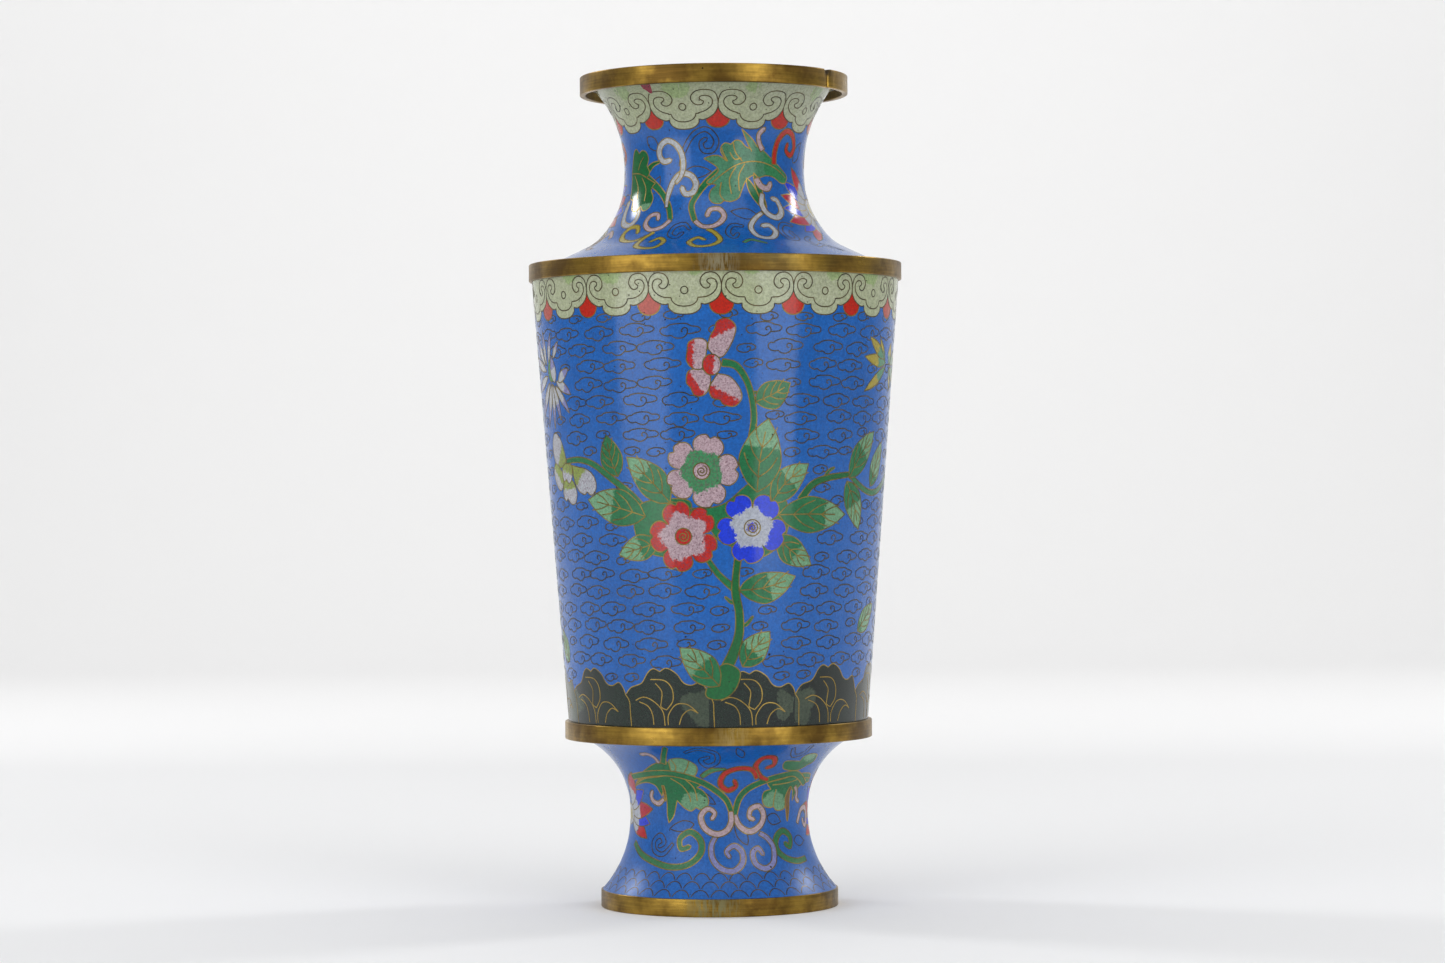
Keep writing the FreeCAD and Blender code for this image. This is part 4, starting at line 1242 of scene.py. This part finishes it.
# ---------------------------------------------------------------- scrolls on the foot
FOOT_STROKES = (
    ([(7.4, 30.8), (7.6, 27.6), (4.6, 25.0), (-2.0, 24.0), (-9.0, 25.8), (-11.6, 29.2), (-7.4, 31.6),
      (-2.8, 30.4), (-4.6, 28.6)], [1.5, 1.8, 1.8, 1.8, 1.6, 1.2], PINK),
    ([(9.8, 29.6), (13.2, 26.2), (20.0, 24.6), (27.0, 26.4), (29.4, 29.4), (26.0, 32.0), (20.6, 31.4),
      (19.4, 29.0), (22.4, 28.2)], [1.5, 1.8, 1.8, 1.8, 1.6, 1.2], PINK),
    ([(22.6, 40.6), (18.4, 43.4), (10.4, 43.9), (3.2, 42.3), (1.0, 39.2), (5.2, 37.2), (10.0, 38.4),
      (9.0, 40.2)], [1.3, 1.7, 1.8, 1.7, 1.7, 1.2], RED),
    ([(30.0, 40.0), (24.0, 41.4), (20.0, 44.4), (22.6, 47.0), (28.6, 47.0), (30.6, 44.8), (26.8, 43.9)],
     [1.0, 1.7, 1.8, 1.8, 1.3], RED),
    ([(-2.0, 23.4), (-4.8, 20.6), (-4.0, 16.8), (1.0, 13.9), (8.0, 13.2), (13.4, 15.4), (13.8, 18.6),
      (9.2, 20.5), (4.4, 19.0), (6.0, 17.2)], [1.3, 1.7, 1.8, 1.8, 1.7, 1.2], LILAC),
    ([(26.0, 24.0), (31.4, 22.4), (35.2, 19.4), (33.4, 15.4), (27.4, 13.6), (21.6, 15.0), (20.4, 18.2),
      (24.2, 19.6), (27.0, 17.8)], [1.3, 1.7, 1.8, 1.8, 1.7, 1.2], LILAC),
    ([(-66.0, 20.4), (-56.0, 17.6), (-45.0, 15.8), (-30.0, 14.2), (-18.6, 15.0), (-11.4, 18.4),
      (-11.8, 22.2), (-18.4, 24.6), (-25.2, 22.6), (-24.0, 19.6), (-18.8, 20.2)],
     [1.6, 1.8, 1.9, 1.9, 1.8, 1.4], LEAF),
    ([(62.0, 15.4), (52.0, 15.0), (43.0, 16.2), (37.4, 19.0), (38.4, 22.4), (44.2, 24.2), (50.4, 22.2),
      (48.6, 19.4), (45.0, 20.4)], [1.6, 1.8, 1.9, 1.9, 1.8, 1.4], LEAF),
    ([(-36.9, 34.3), (-41.5, 32.8), (-46.2, 33.5), (-47.3, 35.2), (-45.2, 36.5)],
     [1.0, 1.5, 1.5, 1.4, 1.0], PINK),
    ([(-32.8, 45.4), (-33.5, 47.2), (-36.4, 48.3), (-40.5, 48.1)], [1.0, 1.2, 1.3, 1.3], PINK),
    ([(53.6, 37.4), (57.2, 35.6), (58.0, 33.6), (61.0, 32.6)], [1.2, 1.2, 1.3, 1.2], PINK),
    ([(-10.0, 41.4), (-4.0, 43.4), (3.4, 43.8)], [1.3, 1.6, 0.8], BRIGHT_GREEN),
    ([(-30.0, 21.0), (-36.0, 17.8), (-43.0, 18.6), (-45.0, 21.4), (-40.0, 23.2), (-36.6, 21.2),
      (-40.0, 20.0)], THIN, BLUE),
    ([(-16.0, 49.0), (-9.0, 50.2), (-1.4, 48.8), (-1.0, 46.0), (-6.0, 44.8), (-9.0, 46.6), (-5.0, 47.6)],
     THIN, BLUE),
    ([(36.0, 50.0), (40.0, 47.4), (46.0, 48.0), (46.4, 50.4)], THIN, BLUE),
    ([(60.0, 26.0), (66.0, 30.0), (74.0, 30.0), (76.0, 26.6), (71.0, 25.0), (68.0, 27.0)],
     [1.3, 1.6, 1.7, 1.6, 1.2], PINK),
)
FOOT_STEMS = (
    ([(-62, 40.4), (-50, 41.4), (-38, 42.2), (-26, 42.2), (-12, 40.2), (-2, 37.2), (4.6, 34.2),
      (7.6, 30.8)], [1.8, 2.0, 2.0, 2.0, 2.0, 1.9, 1.7, 1.5], LEAF),
    ([(9.8, 29.6), (12.4, 34.4), (18.0, 37.6), (28.0, 39.8), (38.0, 41.0), (50.0, 41.4), (64.0, 38.0)],
     [1.5, 1.8, 1.9, 2.0, 2.0, 2.0, 1.8], LEAF),
    ([(-30.2, 45.4), (-27.4, 48.0), (-23.9, 50.6)], [1.8, 1.6, 1.5], LEAF),
    ([(-35.8, 38.4), (-35.6, 36.0), (-36.0, 33.8)], [0.9, 0.9, 0.4], BROWN),
    ([(49.6, 37.4), (48.2, 34.4), (49.2, 30.8), (49.1, 27.2)], [0.8, 2.0, 1.6, 0.5], BROWN),
)
FOOT_VEINS = (
    [(-56.0, 39.6), (-39.3, 41.2), (-31.0, 41.7), (-24.2, 41.9), (-18.0, 41.2), (-10.0, 40.2)],
    [(-29.0, 40.8), (-22.4, 38.6), (-18.6, 35.6), (-18.0, 33.6)],
    [(-19.4, 40.4), (-15.0, 37.8), (-13.6, 34.0)],
    [(-24.6, 46.6), (-23.4, 44.6), (-25.4, 42.5)],
    [(-15.4, 46.2), (-17.2, 44.2), (-20.4, 42.2)],
    [(37.4, 37.0), (36.8, 34.4), (36.6, 32.0)],
    [(71.0, 39.4), (58.0, 39.8), (46.0, 38.8), (34.0, 38.4)],
)
FOOT_LEAVES = (
    ([(-27.6, 42.0, 1), (-26.3, 46.2), (-24.1, 47.0), (-20.5, 47.3), (-17.0, 47.0), (-13.2, 45.7),
      (-11.7, 44.6), (-12.0, 43.1), (-13.7, 41.7, 1), (-22.1, 41.8)], (-18.0, 44.6), 9.0),
    ([(-58.9, 38.6, 1), (-52.3, 41.2), (-43.1, 43.6), (-37.4, 45.0, 1), (-31.9, 45.9), (-26.5, 46.0, 1),
      (-24.6, 44.6), (-27.6, 42.2, 1), (-36.2, 41.2), (-48.1, 40.4)], (-18.0, 44.6), 2.4),
    ([(-62.0, 37.7, 1), (-53.3, 38.8), (-46.9, 39.1), (-41.6, 38.3), (-39.4, 36.4), (-38.0, 35.0, 1),
      (-35.2, 38.2, 1), (-34.6, 34.8), (-35.0, 30.0), (-33.9, 27.1, 1), (-30.2, 29.1), (-28.5, 31.8),
      (-27.0, 34.0, 1), (-24.9, 32.9), (-22.1, 31.7), (-17.9, 30.9), (-14.6, 32.0, 1), (-11.9, 31.4),
      (-7.8, 32.0), (-6.4, 33.9), (-7.6, 35.8), (-10.4, 37.4), (-13.4, 38.0, 1), (-9.0, 40.0),
      (-18.0, 41.2), (-24.2, 41.9), (-31.0, 41.7), (-39.3, 41.2), (-56.0, 39.6)], (-16.0, 32.0), 4.6),
    ([(30.1, 38.9), (32.7, 39.5), (40.1, 40.1), (47.9, 40.9), (57.6, 41.4), (68.2, 40.7), (71.5, 38.4, 1),
      (60.0, 37.6), (56.0, 35.4), (53.6, 33.0, 1), (52.0, 36.4), (49.5, 36.2), (47.2, 34.6, 1),
      (46.8, 31.9), (45.1, 30.7), (39.6, 30.5), (36.6, 31.8, 1), (34.4, 31.5), (30.1, 32.0), (28.0, 34.0),
      (28.7, 36.4), (33.4, 37.1, 1)], (37.0, 31.8), 4.6),
    ([(36.4, 44.6, 1), (37.1, 45.7), (41.8, 45.7), (47.7, 45.4, 1), (48.3, 46.9), (53.1, 47.6),
      (59.7, 46.9), (61.8, 44.9), (56.7, 43.8), (51.9, 42.7), (46.0, 42.5), (38.6, 43.2)], (54.0, 47.4),
     3.0),
)
FOOT_GHOSTS = (
    ((-16.0, 27.0), (-33.0, 25.4), 3.2),
    ((17.6, 20.6), (9.6, 28.6), 3.2),
    ((32.0, 28.8), (43.0, 27.0), 3.4),
    ((-14.0, 36.6), (-2.0, 33.0), 2.6),
    ((12.0, 47.4), (8.0, 50.6), 2.4),
    ((54.0, 21.0), (66.0, 20.6), 3.2),
)
FOOT_LOTUS_TIPS = ((20.0, 13.4, 0), (26.0, 8.0, 1), (33.0, 2.4, 0), (30.0, -2.2, 1), (28.0, -6.6, 0))


def foot_scrolls(wall, turn):
    """Two leaves on branches that meet in a pair of curls, more curls below, and a lotus at the side."""
    names = ("foot_leaves", "foot_leaf_wires")
    scroll_strokes(wall, turn, FOOT_STROKES)
    for points, widths, colour in FOOT_STEMS:
        stem(wall, turn, points, widths, colour, names)
    for vein in FOOT_VEINS:
        wall.draw(curve(wall, turned(vein, turn)), names[1])
    for outline, pale, reach in FOOT_LEAVES:
        paint = round_paint(wall, PALE_LEAF, LEAF, turned([pale], turn)[0], reach)
        wall.lay(curve(wall, turned(outline, turn), closed=True), names[0], paint, names[1])
    lotus(wall, (-80 + turn, 28.6), FOOT_LOTUS_TIPS, (3.6, 3.2), 2.0, 0.2, 0.40, 0.4)
    ghost_leaves(wall, turn, FOOT_GHOSTS)


def scales(wall):
    """Three rows of overlapping scales above the foot ring, in wire only."""
    count, tall = 37, 3.4
    for row, top in enumerate((7.8, 10.2, 12.6)):
        for i in range(count):
            at = (i + 0.5 * (row % 2)) * 360 / count
            half = 180 / count
            line = [(at + half * cos(t), top - tall + tall * sin(t)) for t in np.linspace(0, pi, 15)]
            wall.lay(np.array(line), "foot_ground_enamel", flat_paint(BLUE), "scale_wires")


# ---------------------------------------------------------------- the rims
def lathe(name, profile, material, node, wobble, shape=None, fine=()):
    """A closed ring turned from an outline of (r, z) corners, with softened edges and a hand-made wobble."""
    rounded = soften(profile)
    chance = Random(len(name))
    waves = [(n, chance.uniform(0, 2 * pi), chance.uniform(-1, 1)) for n in (2, 3, 5, 8, 13)]
    bearings = sorted(set(np.linspace(0, 2 * pi, 288, endpoint=False)) | set(fine))
    segments = len(bearings)
    points, faces = [], []
    for a in bearings:
        ripple = wobble * sum(w * sin(n * a + p) for n, p, w in waves) / 2.5
        for r, z in rounded:
            r, z = (shape(a, r, z) if shape else (r, z))
            points.append(((r - abs(ripple)) * sin(a) * MM, -(r - abs(ripple)) * cos(a) * MM, z * MM))
    m = len(rounded)
    for i in range(segments):
        j = (i + 1) % segments
        for k in range(m):
            n = (k + 1) % m
            faces.append((i * m + k, j * m + k, j * m + n, i * m + n))
    mesh = bpy.data.meshes.new(name)
    mesh.from_pydata(points, [], faces)
    mesh.materials.append(material)
    mesh.update()
    ring = add_object(name, mesh)
    for polygon in mesh.polygons:
        polygon.use_smooth = True
    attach(ring, "root")
    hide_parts(node)


def soften(profile, radius=0.35, steps=4):
    """The outline with each corner turned into a small round."""
    out = []
    n = len(profile)
    for i in range(n):
        before, here, after = (np.array(profile[j % n], float) for j in (i - 1, i, i + 1))
        into, on = before - here, after - here
        reach_in = min(radius, np.linalg.norm(into) * 0.45)
        reach_on = min(radius, np.linalg.norm(on) * 0.45)
        start = here + into / np.linalg.norm(into) * reach_in
        end = here + on / np.linalg.norm(on) * reach_on
        for k in range(steps + 1):
            t = k / steps
            out.append(tuple((1 - t) ** 2 * start + 2 * t * (1 - t) * here + t ** 2 * end))
    return out


def bent_mouth(a, r, z):
    """The mouth rim, knocked in at the front right, where it is cracked and its edge is nicked.

    A nick in the top edge, a groove down the crack, and a dip that dies away to both sides of it."""
    off = degrees(a) - CRACK
    nick = max(0.0, 1 - abs(off + 0.6) / 2.4) * (z > HEIGHT - 1.0)
    groove = exp(-(off / 0.20) ** 2) * (r > 38)
    dip = exp(off / 5.0) if off < 0 else 0.35 * exp(-off / 2.0)
    return r - (0.75 * dip * (r > 38) + 0.07 * groove), z - (2.2 if r > 39.45 else 1.7) * nick


def rims(brass):
    """The four rims.  Each has a bore, and all but the foot's have a plate across and a seat for the wall."""
    wobble, mouth_wobble = 0.12, 0.10
    low, high, edge, bore = foot_of("foot_ring"), FOOT_LOW, radius_of("foot_ring"), 32.6
    lathe("foot_rim", [(bore, low), (edge, low), (edge, high), (bore, high)], brass, "foot_ring", wobble)
    low, high, edge, bore, seat = FOOT_HIGH, BODY_LOW, radius_of("waist_ring"), 36.0, 45.05
    outline = [(bore, low), (edge, low), (edge, high), (seat, high), (seat, low + PLATE), (bore, low + PLATE)]
    lathe("waist_rim", outline, brass, "waist_ring", wobble)
    low, high, edge, bore, seat = BODY_HIGH, NECK_LOW, radius_of("shoulder_ring"), 45.5, 55.7
    outline = [(bore, high - PLATE), (seat, high - PLATE), (seat, low),
               (edge, low), (edge, high), (bore, high)]
    lathe("shoulder_rim", outline, brass, "shoulder_ring", wobble)
    # the mouth rim has two more points across its top, for the step in the nick
    low, high, edge, bore, seat = foot_of("mouth_rim"), HEIGHT, radius_of("mouth_rim"), 35.2, 39.4
    outline = [(bore, high - MOUTH_PLATE), (seat, high - MOUTH_PLATE), (seat, low),
               (edge, low), (edge, high), (39.5, high), (38.4, high), (bore, high)]
    near_crack = np.radians(np.arange(CRACK - 6, CRACK + 6, 0.12))
    lathe("lip_rim", outline, brass, "mouth_rim", mouth_wobble, bent_mouth, near_crack)


# ---------------------------------------------------------------- putting it together
# each look of enamel: its slot, its specks' colour and strength, and how cloudy it is
LOOKS = {
    "ground": ("ground_enamel", (0.005, 0.050, 0.22), 0.34, 0.26),
    "lappet": ("lappet_enamel", (0.24, 0.30, 0.10), 0.30, 0.30),
    "red": ("red_enamel", (0.22, 0.010, 0.003), 0.22, 0.15),
    "pink": ("pink_enamel", (0.130, 0.050, 0.085), 0.75, 0.10),
    "cobalt": ("cobalt_enamel", (0.006, 0.012, 0.25), 0.22, 0.15),
    "leaf": ("leaf_enamel", (0.005, 0.055, 0.022), 0.42, 0.22),
    "rock": ("rock_enamel", (0.012, 0.030, 0.018), 0.70, 0.45),
    "scroll": ("pink_enamel", (0.13, 0.08, 0.08), 0.36, 0.10),
}
# the pieces that have each look
PIECES = {
    "ground": ("neck_ground_enamel", "body_ground_enamel", "foot_ground_enamel"),
    "lappet": ("mouth_lappets", "shoulder_lappets"),
    "red": ("mouth_drops", "shoulder_drops"),
    "pink": ("pink_blossom", "red_blossom", "blossom_eyes", "roses"),
    "cobalt": ("blue_blossom", "neck_lotuses", "foot_lotuses"),
    "leaf": ("leaves", "stems", "neck_leaves", "foot_leaves"),
    "rock": ("rocks",),
    "scroll": ("asters", "stars", "neck_scrolls", "foot_scrolls"),
}
LOOK_OF = {name: look for look, names in PIECES.items() for name in names}
# each look of wire: its colour, its brown, how much brown, and how metallic it is
WIRE_LOOKS = {
    "bright": ("bright_wire", (0.41, 0.28, 0.065), (0.17, 0.11, 0.030), 0.65, 0.75),
    "plain": ("wire", (0.28, 0.205, 0.050), (0.060, 0.050, 0.020), 0.75, 0.75),
    "dull": ("dull_wire", (0.105, 0.074, 0.024), (0.018, 0.016, 0.012), 0.9, 0.35),
}


def decorate():
    """Lays every cell and wire, front ones first."""
    neck = Wall("neck", neck_radius, NECK_LOW, NECK_HIGH, 1.6)
    smear = [(-38.5, 252.0), (-33.0, 252.0), (-32.8, 247.2), (-34.2, 246.4), (-36.4, 247.4), (-38.2, 248.4)]
    neck.lay(curve(neck, smear, closed=True), "mouth_drops", flat_paint(CRIMSON))
    lappets(neck, 9, 2.5, 247.0, 11.4, 1.3, "mouth")
    drops(neck, 9, 2.5, 243.2, 236.0, 3.7, "mouth")
    for turn in (0, 180):
        neck_scrolls(neck, turn)
    body = Wall("body", body_radius, BODY_LOW, BODY_HIGH, 2.4)
    shoulder_border(body)
    for turn, colours in ((0, (PINK, BRIGHT_GREEN, RED, PINK, COBALT, WHITE)),
                          (180, (WHITE, LILAC, COBALT, WHITE, RED, PINK))):
        spray(body, turn, colours)
        side_flowers(body, turn)
    rocks(body)
    clouds(body)
    foot = Wall("foot", foot_radius, FOOT_LOW, FOOT_HIGH, 1.6)
    for turn in (0, 180):
        foot_scrolls(foot, turn)
    scales(foot)
    return neck, body, foot


def wire_look(name):
    """The wires of the rocks and the scrolling leaves are bright; those over one plain colour are dull."""
    if name.startswith(("cloud", "scale")) or name.endswith(("ghost_wires", "lappet_wires")):
        return "dull"
    return "bright" if name in ("rock_wires", "neck_leaf_wires", "foot_leaf_wires") else "plain"


def build_wall(wall, enamels, wires):
    """Makes the wall's pieces.  One that has a CAD node's name stands for that node."""
    sheet, tris, cells = cut(wall)
    ground = wall.name + "_ground_enamel"
    names = np.array([ground if c < 0 else wall.cells[c][1] for c in cells])
    for name in sorted(set(names)):
        mine = names == name
        look = LOOK_OF[name]
        material, slot = enamels[look], LOOKS[look][0]
        piece = enamel_piece(wall, name + "_fired", sheet, tris[mine], cells[mine], material)
        stand_for(piece, name)
    for name, lines in sorted(wall.wires.items()):
        stand_for(wire_piece(wall, name + "_laid", lines, wires[wire_look(name)]), name)


def stand_for(piece, name):
    if name in frame["nodes"]:
        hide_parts(str(name))


def finish_cad_nodes():
    """Gives the CAD nodes that stay their own procedural materials."""
    copper = plain_metal("copper", (0.42, 0.17, 0.085), (0.16, 0.075, 0.045))
    solder = plain_metal("solder", (0.30, 0.28, 0.25), (0.10, 0.09, 0.075))
    lining = counter_enamel("lining_enamel")
    looks = {"copper": copper, "solder": solder, "lining_enamel": lining}
    for part in frame["record"]["subparts"]:
        if part["material_slot"] in looks:
            node = frame["nodes"][part["node"]]
            node.data.materials.clear()
            node.data.materials.append(looks[part["material_slot"]])


def stage():
    """A pale table, with its front edge half a metre before the vase, that sweeps up into a pale backdrop."""
    width, front, back, rise, bend = 6.0, -0.55, 1.6, 3.2, 0.8
    profile = [(front, 0.0), (back, 0.0)]
    profile += [(back + bend * sin(t), bend * (1 - cos(t))) for t in np.linspace(0.1, pi / 2, 14)]
    profile.append((back + bend, rise))
    points = [(x, y, z) for y, z in profile for x in (-width, width)]
    faces = [(2 * i, 2 * i + 1, 2 * i + 3, 2 * i + 2) for i in range(len(profile) - 1)]
    mesh = bpy.data.meshes.new("backdrop")
    mesh.from_pydata(points, [], faces)
    for polygon in mesh.polygons:
        polygon.use_smooth = True
    material, _, _, shader = new_material("backdrop_paper")
    shader.inputs["Base Color"].default_value = (0.90, 0.90, 0.905, 1)
    shader.inputs["Roughness"].default_value = 0.9
    shader.inputs["Specular IOR Level"].default_value = 0.1
    mesh.materials.append(material)
    add_object("backdrop", mesh)


def area_light(name, place, target, size, power, colour=(1, 1, 1)):
    """A soft rectangular light in metres and watts."""
    light = bpy.data.lights.new(name, "AREA")
    light.shape = "RECTANGLE"
    light.size, light.size_y = size
    light.energy, light.color = power, colour
    aim(add_object(name, light), place, target)


def aim(thing, place, target):
    thing.location = place
    thing.rotation_euler = (Vector(target) - Vector(place)).to_track_quat("-Z", "Y").to_euler()


def lights():
    """Two small bright windows behind, softboxes at both sides, and soft light from the front and above."""
    neck, middle = (0, 0, 0.21), (0, 0, 0.13)
    area_light("left_window", (-1.24, 0.70, 0.94), neck, (0.26, 0.46), 6)
    area_light("right_window", (1.26, 0.70, 0.94), neck, (0.26, 0.46), 6)
    area_light("left_softbox", (-1.14, -1.04, 0.46), middle, (1.0, 1.4), 9)
    area_light("right_softbox", (1.00, -1.22, 0.46), middle, (0.8, 1.4), 7.5)
    area_light("front_card", (0, -2.6, 0.5), middle, (3.0, 1.7), 3)
    area_light("front_fill", (0, -1.3, 1.8), middle, (2.4, 0.9), 7)
    area_light("top", (0, 0.2, 2.2), middle, (2.4, 2.4), 10)
    area_light("backdrop_wash", (0, 0.3, 1.3), (0, 2.4, 1.8), (3.6, 0.8), 27, (1.0, 0.985, 0.955))
    world = bpy.data.worlds.new("studio")
    world.use_nodes = True
    background = world.node_tree.nodes["Background"]
    background.inputs["Color"].default_value = (0.98, 0.99, 1.0, 1)
    background.inputs["Strength"].default_value = 0.30
    bpy.context.scene.world = world
    bpy.context.scene.view_settings.view_transform = "Standard"


def camera():
    """Straight on from the -Y side at about half the vase's height, rolled by half a degree."""
    lens = bpy.data.cameras.new("camera")
    lens.sensor_width = 36
    lens.lens = 95.7
    eye = add_object("camera", lens)
    aim(eye, (0.0018, -1.18, 0.1254), (0.0018, 0.0, 0.1299))
    eye.rotation_euler.rotate_axis("Z", radians(-0.45))
    bpy.context.scene.camera = eye


def main():
    enamels = {look: enamel(slot + "_" + look, *spec) for look, (slot, *spec) in LOOKS.items()}
    wires = {look: gilt_wire(*spec) for look, spec in WIRE_LOOKS.items()}
    for wall in decorate():
        build_wall(wall, enamels, wires)
    rims(rim_brass("rim_brass"))
    finish_cad_nodes()
    stage()
    lights()
    camera()


main()
